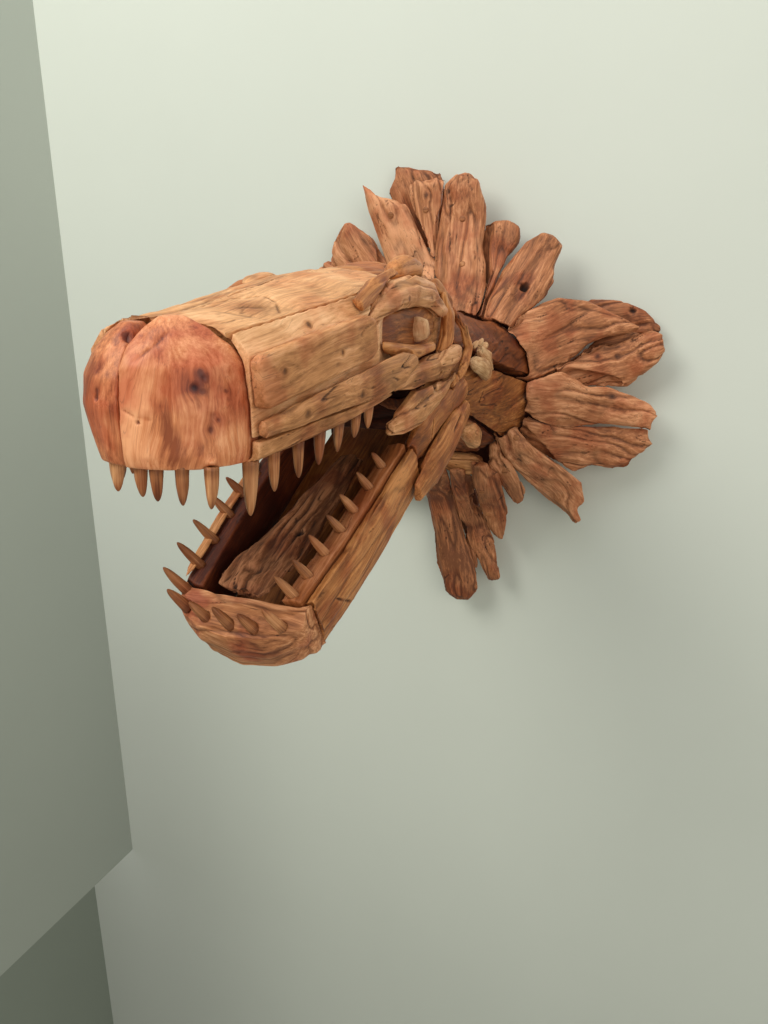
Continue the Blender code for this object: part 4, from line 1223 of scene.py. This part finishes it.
@dataclass
class Snout(Assembly):
    """The two front blocks, the roof and the boards of the upper jaw."""

    fine: float = 1.5
    far: float = 2.4

    def carvings(self) -> dict[str, Carving]:
        """The upper jaw's carvings."""
        block = {"voxel": self.fine, "rounding": 22, "lumps": 1.8, "ridges": 0.25, "cracks": 0.0}
        return {
            "snout_block_near": Carving(
                OILED_BLOCK, tone=0.1, axis=(0.12, 0, 1), wander=11, **block,
            ),
            "snout_block_far": Carving(
                OILED_BLOCK, tone=-0.25, axis=(0.1, 0, 1), wander=10, **block,
            ),
            "top_plank_near": Carving(
                LIGHT_PLANK, self.fine, 10, lumps=2.0, ridges=0.4, cracks=0.5, tone=-0.05,
                axis=(0.05, 1, 0.1), wander=9,
            ),
            "top_plank_far": Carving(
                LIGHT_PLANK, 1.9, 10, lumps=3.0, folds=1.6, ridges=0.5, cracks=0.8, tone=-0.2,
                axis=(0, 1, 0.1),
            ),
            "side_board_near": Carving(
                LIGHT_PLANK, self.fine, 8, lumps=0.8, ridges=0.3, cracks=0.3, tone=0.3,
                axis=(0, 1, 0.12),
            ),
            "side_board_far": Carving(TAN_PLANK, self.far, 6, axis=(0, 1, 0.12), tone=-0.1),
            "cheek_plate_near": Carving(
                TAN_PLANK, self.fine, 5, lumps=1.0, ridges=0.5, cracks=0.4, tone=-0.05,
                axis=(0, 1, 0.16), wander=4,
            ),
            "cheek_plate_far": Carving(TAN_PLANK, self.far, 10, axis=(0, 1, 0.16)),
            "lower_plank_near": Carving(
                TAN_PLANK, self.fine, 8, lumps=1.8, folds=1.2, ridges=0.6, cracks=1.0, tone=-0.2,
                axis=(0, 1, 0.12),
            ),
            "lip_plank_near": Carving(
                TAN_PLANK, self.fine, 8, lumps=1.6, ridges=0.5, cracks=0.8, tone=-0.1,
                axis=(0, 1, 0.1),
            ),
            "palate_board": Carving(DARK_BOARD, 3.2, 4, axis=(0, 1, 0)),
        }

    def offcuts(self) -> tuple[Offcut, ...]:
        """The knob on the roof."""
        return (
            Offcut("roof_knob", Carving(
                LIGHT_PLANK, 1.8, 8, 1.5, 1.0, 0.5, 0.8, 0.0), (1, 0, 0), (
                (-40, -748, 203, 8, 4), (-42, -728, 206, 13, 7), (-42, -702, 209, 13, 7),
                (-40, -682, 209, 8, 4))),
        )

    def pegs(self) -> dict[str, tuple[Peg, ...]]:
        """The upper pegs."""
        plan = self.plan
        return {
            "snout_block_near": plan.upper_front(1),
            "snout_block_far": plan.upper_front(-1),
            "lip_plank_near": (*plan.upper_side(1), plan.corner_peg()),
            "side_board_far": plan.upper_side(-1),
        }


@dataclass
class Skull(Assembly):
    """The eye, its brow and lids, the cheek, the crown and the hinge of the jaw."""

    fine: float = 1.6
    far: float = 2.6

    def carvings(self) -> dict[str, Carving]:
        """The back of the head."""
        rough = {"folds": 2.2, "ridges": 0.7, "cracks": 1.0, "lumps": 2.4}
        plain = {"folds": 0.6, "ridges": 0.4, "cracks": 0.5, "lumps": 1.8}
        return {
            "crown": Carving(REDDISH_PLANK, 2.0, 14, tone=0.45, axis=(0.25, 1, 0), **rough),
            "brow_block": Carving(REDDISH_PLANK, self.fine, 12, tone=0.2, **plain),
            "brow_arch_near": Carving(TAN_PLANK, self.fine, 6, tone=0.45, **rough),
            "brow_arch_far": Carving(TAN_PLANK, self.far, 6),
            "eye_peg_near": Carving(PALE_BURL, 1.3, 10, 0.6, 0, 0.4, 0.5, 0.5, (0, 0, 1)),
            "eye_peg_far": Carving(PALE_BURL, 2.0, 6),
            "lower_lid_near": Carving(REDDISH_PLANK, self.fine, 12, tone=0.45, **plain),
            "eye_post": Carving(REDDISH_PLANK, self.fine, 8, tone=0.35, **rough),
            "rear_rim_stick": Carving(REDDISH_PLANK, self.fine, 6, tone=0.35, **rough),
            "cheek_slab_near": Carving(TAN_PLANK, self.fine, 6, tone=-0.2, **rough),
            "cheek_slab_far": Carving(DARK_BOARD, self.far, 6, tone=0.5),
            "cheek_root_near": Carving(TAN_PLANK, self.fine, 6, tone=-0.05, **rough),
            "hinge_plank_near": Carving(REDDISH_PLANK, self.fine, 12, tone=0.1, **plain),
            "hinge_plank_far": Carving(DARK_BOARD, self.far, 6, tone=0.2),
            "hinge_root_near": Carving(REDDISH_PLANK, self.fine, 12, tone=-0.1, **plain),
        }

    def offcuts(self) -> tuple[Offcut, ...]:
        """The eye's hollow, the crown's knuckle, the twisted stick and the cheek's pale slab."""
        return (
            Offcut("eye_hollow", Carving(
                REDDISH_PLANK, 1.4, 8, 1.0, 0.6, 0.3, 0.3, -0.25), (0, 0, 1), (
                (87, -708, 150, 10, 3), (88, -670, 151, 22, 4), (88, -620, 150, 26, 4),
                (88, -560, 151, 26, 4), (87, -520, 152, 14, 3))),
            Offcut("crown_knuckle", Carving(
                REDDISH_PLANK, 1.6, 14, 1.6, 0.8, 0.4, 0.6, 0.5), (0, 0, 1), (
                (74, -640, 208, 7, 9), (73, -614, 216, 12, 13), (70, -582, 221, 14, 15),
                (68, -548, 219, 12, 14), (66, -516, 210, 7, 9))),
            Offcut("twisted_stick", Carving(
                REDDISH_PLANK, 1.5, 5, 3.0, 3.0, 1.0, 1.6, 0.3), (0, 0, 1), (
                (84, -556, 206, 5, 6), (86, -525, 201, 10, 9), (84, -490, 192, 9, 8),
                (83, -456, 178, 8, 7), (81, -432, 164, 4, 5))),
            Offcut("cheek_slab_pale", Carving(
                TAN_PLANK, 1.5, 6, 2.4, 2.0, 0.8, 1.2, 0.3), (0, 0, 1), (
                (102, -560, 106, 6, 7), (105, -525, 111, 13, 9), (104, -490, 113, 15, 9),
                (99, -452, 116, 9, 8))),
        )


@dataclass
class LowerJaw(Assembly):
    """The dropped jaw with its rail, chin, floor and tongue."""

    fine: float = 1.6

    def carvings(self) -> dict[str, Carving]:
        """The lower jaw's carvings."""
        a = math.radians(self.plan.jaw_drop)
        forward = (0.0, math.cos(a), math.sin(a))
        return {
            "chin_block": Carving(
                CHIN_ROOT, self.fine, 12, 3.2, 1.6, 0.5, 0.8, 0.1, (1, 0, 0), 12,
            ),
            "jaw_rail_near": Carving(RAIL_PLANK, self.fine, 8, 1.6, 0, 0.6, 0.8, 0.0, forward),
            "jaw_side_near": Carving(
                REDDISH_PLANK, self.fine, 10, 1.8, 1.0, 0.6, 0.8, 0.3, forward,
            ),
            # Painted shade: the far side's inner face, in the mouth's shade, is dark board.
            "jaw_side_far": Carving(DARK_BOARD, 2.0, 8, 0.8, 0, 0.3, 0.6, 0.0, forward),
            "jaw_floor": Carving(REDDISH_PLANK, 2.0, 6, 0.6, 0, 0.3, 0.5, -0.2, forward),
            "tongue_root": Carving(
                WEATHERED_ROOT, self.fine, 6, 4.5, 4.0, 1.2, 1.4, -0.1, forward,
            ),
        }

    def pegs(self) -> dict[str, tuple[Peg, ...]]:
        """The lower pegs."""
        plan = self.plan
        return {
            "chin_block": plan.lower_front(),
            "jaw_rail_near": plan.lower_side(1),
            "jaw_side_far": plan.lower_side(-1),
        }

    def offcuts(self) -> tuple[Offcut, ...]:
        """A pale strip along the upper edge of the far outer plank, a painted highlight where
        light falls on the edge above the shaded inner face.
        """
        path = tuple(
            (*self.plan.jaw_point(4 - self.plan.jaw_half(s), s, 1.0), 7, 3)
            for s in (60, 110, 160, 210, 262)
        )
        return (Offcut("far_edge_strip", Carving(
            TAN_PLANK, 1.5, 5, 1.2, 0.6, 0.5, 0.6, -0.2), (1, 0, 0), path),)


@dataclass
class Neck(Assembly):
    """The ring of roots between the skull and the frill."""

    voxel: float = 2.4

    def carvings(self) -> dict[str, Carving]:
        """The neck's carvings."""
        rough = {"folds": 1.6, "ridges": 0.7, "cracks": 1.0, "lumps": 3.0, "axis": (0.1, 1, 0.2)}
        return {
            "neck_root_near_upper": Carving(NECK_ROOT, 2.0, 10, tone=0.1, **rough),
            "neck_root_near_lower": Carving(REDDISH_PLANK, 2.0, 10, tone=-0.1, **rough),
            "neck_root_under": Carving(NECK_ROOT, self.voxel, 6, tone=0.1, **rough),
            "neck_root_far": Carving(NECK_ROOT, 3.2, 6, **rough),
            "neck_root_top": Carving(NECK_ROOT, self.voxel, 6, tone=0.3, **rough),
            "pale_burl": Carving(PALE_BURL, 1.6, 6, 5.0, 1.0, 0.6, 1.0, 0.2),
        }

    def offcuts(self) -> tuple[Offcut, ...]:
        """The lobes of the burl and the yellowish filler under the neck."""
        lobe = Carving(PALE_BURL, 1.2, 6, 2.5, 0.6, 0.4, 0.5, 0.1)
        lobes = (
            ((97, -392, 112, 5, 5), (101, -388, 117, 6, 6), (104, -384, 124, 3, 3)),
            ((98, -372, 114, 5, 5), (103, -368, 119, 6, 6), (106, -364, 126, 3, 3)),
            ((97, -350, 108, 6, 6), (103, -346, 112, 7, 7), (107, -342, 118, 4, 4)),
            ((96, -398, 96, 8, 8), (101, -384, 90, 13, 11), (104, -360, 84, 14, 12),
             (103, -334, 70, 12, 10), (98, -318, 60, 7, 7)),
        )
        burl = (Offcut(f"burl_lobe_{i}", lobe, (0, 1, 0), row) for i, row in enumerate(lobes, 1))
        return (
            *burl,
            Offcut("throat_filler", Carving(
                TAN_PLANK, 1.8, 8, 2.0, 1.0, 0.5, 0.8, -0.1), (0, 0, 1), (
                (84, -372, -8, 10, 9), (82, -340, -18, 18, 14), (76, -296, -34, 20, 14),
                (70, -256, -50, 14, 10))),
            Offcut("throat_root", Carving(
                DARK_BOARD, 2.4, 6, 2.4, 1.6, 0.6, 1.0, -0.3), (0, 0, 1), (
                (-72, -398, 12, 34, 12), (-32, -414, 14, 42, 13), (20, -424, 14, 42, 13),
                (68, -430, 12, 34, 12))),
            Offcut("throat_root_far", Carving(
                DARK_BOARD, 2.4, 6, 2.4, 1.6, 0.6, 1.0, -0.3), (0, 0, 1), (
                (-86, -476, 4, 28, 8), (-88, -424, 0, 42, 8), (-88, -360, -4, 42, 8),
                (-84, -316, -6, 30, 8))),
            Offcut("low_filler", Carving(
                TAN_PLANK, 1.8, 8, 2.4, 1.6, 0.6, 1.0, -0.3), (0, 0, 1), (
                (-44, -96, -132, 12, 14), (-12, -110, -126, 22, 18), (22, -120, -122, 22, 18),
                (46, -126, -114, 12, 14))),
        )


# What the camera sees of each petal, on one plane: corners (x, z) in mm
OUTLINES: dict[str, tuple[tuple[float, float], ...]] = {
    "petal_top_tall": (
        (-83, 267), (-72, 329), (-69, 363), (-46, 383), (-23, 384), (-5, 370), (1, 351),
        (12, 325), (12, 289), (9, 258), (17, 227), (8, 163), (-56, 162), (-86, 211),
    ),
    "petal_right_upper_leaf": (
        (55, 132), (115, 163), (147, 174), (195, 169), (231, 155), (266, 138), (290, 128),
        (292, 119), (269, 112), (235, 106), (201, 90), (171, 55), (148, 42), (107, 23), (60, 16),
    ),
    "petal_right_back_board": (
        (186, 175), (256, 170), (295, 154), (325, 127), (328, 114), (277, 99), (200, 96),
    ),
    "petal_right_upper_low": (
        (151, 54), (201, 92), (269, 110), (309, 124), (328, 115), (335, 85), (325, 68), (299, 43),
        (277, 22), (222, 17), (157, 21),
    ),
    "petal_right_fold_upper": (
        (57, -14), (119, 34), (160, 48), (206, 22), (242, 24), (285, 13), (319, -5), (344, -32),
        (347, -49), (318, -53), (283, -49), (243, -46), (179, -59), (68, -52),
    ),
    "petal_right_fold_lower": (
        (58, -35), (179, -52), (259, -46), (321, -45), (343, -45), (337, -66), (307, -98),
        (290, -120), (266, -126), (226, -125), (195, -140), (150, -117), (105, -93),
    ),
    "petal_lower_right_stick": (
        (28, -55), (77, -52), (118, -92), (167, -122), (211, -154), (218, -178), (229, -212),
        (207, -244), (185, -218), (162, -204), (118, -173), (79, -140), (34, -99),
    ),
    "petal_orange_wedge": (
        (25, -82), (81, -130), (110, -180), (106, -214), (85, -212), (61, -182), (32, -153),
    ),
    "petal_lower_leaf": (
        (-7, -103), (43, -98), (60, -164), (79, -231), (70, -291), (47, -279), (24, -243),
        (0, -175),
    ),
    "petal_bottom_stick": (
        (-58, -125), (-2, -120), (36, -246), (54, -291), (71, -371), (44, -383), (7, -319),
        (-27, -254),
    ),
    "petal_bottom_main": (
        (-105, -167), (-37, -179), (-13, -272), (18, -345), (26, -399), (4, -428), (-22, -431),
        (-51, -419), (-58, -388), (-70, -359), (-82, -261),
    ),
    "petal_bottom_sliver": (
        (-105, -167), (-56, -181), (-53, -257), (-46, -335), (-58, -337), (-75, -290),
    ),
    "petal_upper_burl": (
        (-2, 285), (11, 299), (30, 303), (52, 303), (77, 291), (73, 261), (55, 238), (40, 215),
        (24, 187), (-11, 163), (-5, 227),
    ),
    "petal_hooked_log": (
        (15, 155), (42, 217), (83, 265), (112, 282), (132, 277), (151, 259), (143, 240),
        (136, 222), (142, 200), (127, 172), (100, 149), (68, 127), (25, 131),
    ),
    "petal_left_pointed": (
        (-235, 376), (-195, 350), (-138, 336), (-120, 295), (-86, 231), (-91, 195), (-167, 194),
        (-186, 240), (-199, 277), (-216, 318),
    ),
    "petal_top_knotty": (
        (-137, 364), (-126, 380), (-98, 368), (-83, 379), (-67, 369), (-69, 337), (-74, 306),
        (-83, 273), (-105, 274), (-123, 307), (-136, 343),
    ),
    "petal_top_back_board": (
        (-197, 368), (-163, 402), (-109, 393), (-67, 381), (-62, 352), (-76, 267), (-135, 268),
        (-178, 352),
    ),
    "petal_left_fan": (
        (-292, 270), (-280, 293), (-262, 311), (-242, 302), (-212, 281), (-189, 248), (-182, 211),
        (-254, 194), (-303, 228),
    ),
}


@dataclass
class Frill(Assembly):
    """The petals of root round the foot of the neck, with their plugs and the board."""

    voxel: float = 2.4
    plug_radius: float = 5.4
    plugs: tuple[tuple[str, float, float], ...] = (
        ("petal_left_pointed", -164, 314), ("petal_top_knotty", -97, 321),
        ("petal_top_tall", -26, 304), ("petal_top_tall", -15, 228),
        ("petal_lower_right_stick", 111, -59), ("petal_lower_leaf", 44, -172),
        ("petal_lower_leaf", 47, -227), ("petal_orange_wedge", 88, -127),
    )
    tones: tuple[tuple[str, float], ...] = (
        ("petal_left_pointed", 0.75), ("petal_top_tall", 0.05), ("petal_hooked_log", -0.3),
        ("petal_right_upper_leaf", -0.1), ("petal_right_fold_upper", 0.15),
        ("petal_lower_right_stick", 0.1), ("petal_bottom_main", -0.7),
        ("petal_top_knotty", 0.25), ("petal_left_fan", 0.15), ("petal_upper_burl", -0.35),
        ("petal_right_upper_low", 0.0), ("petal_right_fold_lower", -0.05),
        ("petal_lower_leaf", -0.3), ("petal_orange_wedge", -0.1),
        ("petal_bottom_stick", -0.5), ("petal_bottom_sliver", -0.6),
        ("petal_left_upper", 0.0), ("petal_left_middle", 0.0), ("petal_left_lower", -0.1),
        ("petal_top_back_board", -0.3), ("petal_right_back_board", -0.5),
    )

    def carvings(self) -> dict[str, Carving]:
        """The frill's carvings."""
        made = {
            name: Carving(
                FRILL_ROOT, self.voxel, 8, lumps=3.2, folds=2.8, ridges=0.9, cracks=1.0, tone=tone
            )
            for name, tone in self.tones
        }
        made["backing_board"] = Carving(DARK_BOARD, 4.0, 2, 0.0, 0.0, 0.2, 0.5, axis=(0, 0, 1))
        return made

    def offcuts(self) -> tuple[Offcut, ...]:
        """Slivers driven between the petals where two of them part."""
        dark = Carving(FRILL_ROOT, 1.8, 8, 2.0, 1.6, 0.7, 1.0, -0.5)
        paths = (
            ((200, -44, 82, 8, 9), (235, -45, 98, 15, 9), (262, -44, 107, 14, 9),
             (290, -40, 113, 7, 7)),
            ((-10, -46, -178, 11, 10), (2, -46, -215, 14, 10), (12, -45, -250, 11, 9),
             (20, -43, -276, 6, 7)),
            ((-6, -42, -280, 8, 9), (4, -43, -318, 11, 9), (16, -42, -360, 7, 8)),
        )
        return tuple(
            Offcut(f"petal_sliver_{i + 1}", dark, (0, 0, 1) if i == 0 else (1, 0, 0), path)
            for i, path in enumerate(paths)
        )

    def extras(self) -> None:
        """Round plugs over the screws, each laid on its petal's carved surface.

        A plug is a circle carried down a short profile: a low dome, a rounded rim, and a
        side that goes into the wood.
        """
        profile = np.array([(1.0, -4.0), (1.0, 0.1), (0.93, 0.6), (0.6, 0.85), (0.2, 0.9)])
        angle = np.linspace(0, 2 * np.pi, 24, endpoint=False)
        sections = []
        for name, x, z in self.plugs:
            petal = bpy.data.objects[name + CARVED]
            found, place, normal, _ = petal.ray_cast(
                Vector((x, -400, z)) * MM, Vector((0, 1, 0)), distance=1.0
            )
            if not found:
                LOG.info("no wood for a plug on %s", name)
                continue
            out = np.array(normal) + np.array((0, -1.2, 0))
            out /= np.linalg.norm(out)
            wide = np.cross(out, (0, 0, 1))
            wide /= np.linalg.norm(wide)
            ring = np.cos(angle)[:, None] * wide + np.sin(angle)[:, None] * np.cross(out, wide)
            centre = np.array(place) / MM + out * 0.8
            sections.append(
                centre
                + profile[:, 0, None, None] * self.plug_radius * ring
                + profile[:, 1, None, None] * out
            )
        obj = tubes("screw_plugs", np.array(sections))
        points = vectors(obj.data, "co") / MM
        skin = Skin(points, points * 0)
        skin.grain = points.copy()
        skin.tone -= 0.35
        paint(obj.data, skin, np.zeros(len(points)))
        finish_piece(obj, WHITTLED_PEG, None)


@dataclass
class Studio:
    """The wall, the floor, the lights and the camera."""

    yaw: float = 23.5
    pitch: float = 17.3
    lens: float = 27.04
    floor_z: float = -2.6
    corner_x: float = -1.035
    ledge_z: float = -1.448
    recess_x: float = -1.213
    wall_top: float = 2.6
    wall_y: float = 0.002
    aim: Point = (0.05, -0.45, 0.05)

    def surface(
        self, name: str, colour: str, corners: list[tuple], shades: tuple[tuple, ...] = ()
    ) -> None:
        """A flat stage surface that isn't seen from its back.

        Args:
            name: its name.
            colour: its emulsion paint.
            corners: its four corners in metres, counted so that it faces the object.
            shades: each painted shade as (axis, where it starts, where it is full) once or
            twice, which multiply, and then how dark it gets.
        """
        mesh = bpy.data.meshes.new(name)
        mesh.from_pydata(corners, [], [(0, 1, 2, 3)])
        obj = link_new(name, mesh)
        coat, tree = blank_material(f"{name}_matt_emulsion")
        place = add(tree, "ShaderNodeTexCoord").outputs["Object"]
        value = math_socket(tree, "MULTIPLY_ADD", cloud(tree, place, 1.6, 4.0), 0.08, 0.96)
        apart = add(tree, "ShaderNodeSeparateXYZ", {0: place}).outputs
        for *ramps, darkest in shades:
            share: object = 1.0
            for axis, begin, full in ramps:
                ramp = ease(tree, apart[axis], begin, full, interpolation_type="SMOOTHSTEP")
                share = math_socket(tree, "MULTIPLY", ramp, share)
            dim = math_socket(tree, "MULTIPLY_ADD", share, darkest - 1, 1.0)
            value = math_socket(tree, "MULTIPLY", value, dim)
        hue = add(tree, "ShaderNodeHueSaturation", {"Color": linear(colour), "Value": value})
        shader = add(
            tree,
            "ShaderNodeBsdfPrincipled",
            {"Base Color": hue.outputs["Color"], "Roughness": 0.8, "Specular IOR Level": 0.2},
        )
        clear = add(tree, "ShaderNodeBsdfTransparent")
        facing = add(tree, "ShaderNodeNewGeometry").outputs["Backfacing"]
        sides = {0: facing, 1: shader.outputs["BSDF"], 2: clear.outputs["BSDF"]}
        mix = add(tree, "ShaderNodeMixShader", sides)
        add(tree, "ShaderNodeOutputMaterial", {"Surface": mix.outputs["Shader"]})
        mesh.materials.append(coat)
        obj.visible_shadow = False
        obj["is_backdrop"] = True

    def lamp(self, name: str, at: Point, size: float, watts: float, tint: str) -> None:
        """A large soft panel lamp that is aimed at the head."""
        data = bpy.data.lights.new(name, "AREA")
        data.shape = "DISK"
        data.size = size
        data.energy = watts
        data.color = linear(tint)[:3]
        obj = link_new(name, data)
        obj.location = at
        way = Vector(self.aim) - Vector(at)
        obj.rotation_mode = "QUATERNION"
        obj.rotation_quaternion = way.to_track_quat("-Z", "Y")

    def build(self) -> None:
        """Set the stage."""
        scene = bpy.context.scene
        z, top, face, low = self.floor_z, self.wall_top, self.wall_y, self.ledge_z
        x, deep = self.corner_x, self.recess_x
        # Painted shade: the wall darkens towards the floor and towards the corner, where the side
        # wall shades it, and the side wall darkens towards its ledge.
        self.surface(
            "wall", "#CDD1C8", [(deep, face, z), (4, face, z), (4, face, top), (deep, face, top)],
            ((("X", -0.3, -0.95), ("Z", -0.2, -1.0), 0.80), (("Z", -0.6, -2.2), 0.80)),
        )
        self.surface(
            "side_wall", "#AFB4A9", [(x, -4, low), (x, face, low), (x, face, top), (x, -4, top)],
            ((("Z", 0.6, -1.4), 0.74),),
        )
        self.surface(
            "side_recess", "#7F857A",
            [(deep, -4, z), (deep, face, z), (deep, face, low), (deep, -4, low)],
        )
        self.surface("floor", "#D6D5CC", [(-6, -6, z), (6, -6, z), (6, 6, z), (-6, 6, z)])
        world = bpy.data.worlds.new("soft_daylight")
        world.use_nodes = True
        background = world.node_tree.nodes["Background"]
        background.inputs["Color"].default_value = linear("#E6EAE6")
        background.inputs["Strength"].default_value = 0.58
        scene.world = world
        self.lamp("window", (-1.3, -2.3, 2.0), 1.8, 56.0, "#FFFDF6")
        self.lamp("sky", (0.2, -1.1, 2.5), 2.4, 26.0, "#F4FAFF")
        self.lamp("room", (2.0, -2.6, 0.7), 2.0, 27.0, "#FFF6E8")
        self.lamp("rear", (0.6, 2.2, 1.0), 1.8, 14.0, "#F6F8FF")
        yaw, pitch = math.radians(self.yaw), math.radians(self.pitch)
        right = Vector((math.cos(yaw), math.sin(yaw), 0))
        forward = Vector(
            (-math.sin(yaw) * math.cos(pitch), math.cos(yaw) * math.cos(pitch), -math.sin(pitch))
        )
        up = right.cross(forward)
        data = bpy.data.cameras.new("phone_view")
        data.sensor_fit = "AUTO"
        data.sensor_width = 36.0
        data.lens = self.lens
        camera = link_new("phone_view", data)
        turn = Matrix((right, up, -forward)).transposed().to_4x4()
        camera.matrix_world = Matrix.Translation(CAMERA_AT) @ turn
        scene.camera = camera
        scene.view_settings.view_transform = "Standard"


def main() -> None:
    """Carve the head, then light it."""
    logging.basicConfig(level=logging.INFO, format="%(name)s: %(message)s")
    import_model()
    plan = HeadPlan()
    assemblies = (
        Snout(plan, 1000), Skull(plan, 2000), LowerJaw(plan, 3000),
        Neck(plan, 4000), Frill(plan, 5000),
    )
    for assembly in assemblies:
        assembly.build()
    faces = sum(len(o.data.polygons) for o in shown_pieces() if o.type == "MESH")
    LOG.info("%d faces in all", faces)
    Studio().build()


if __name__ == "__main__":
    main()
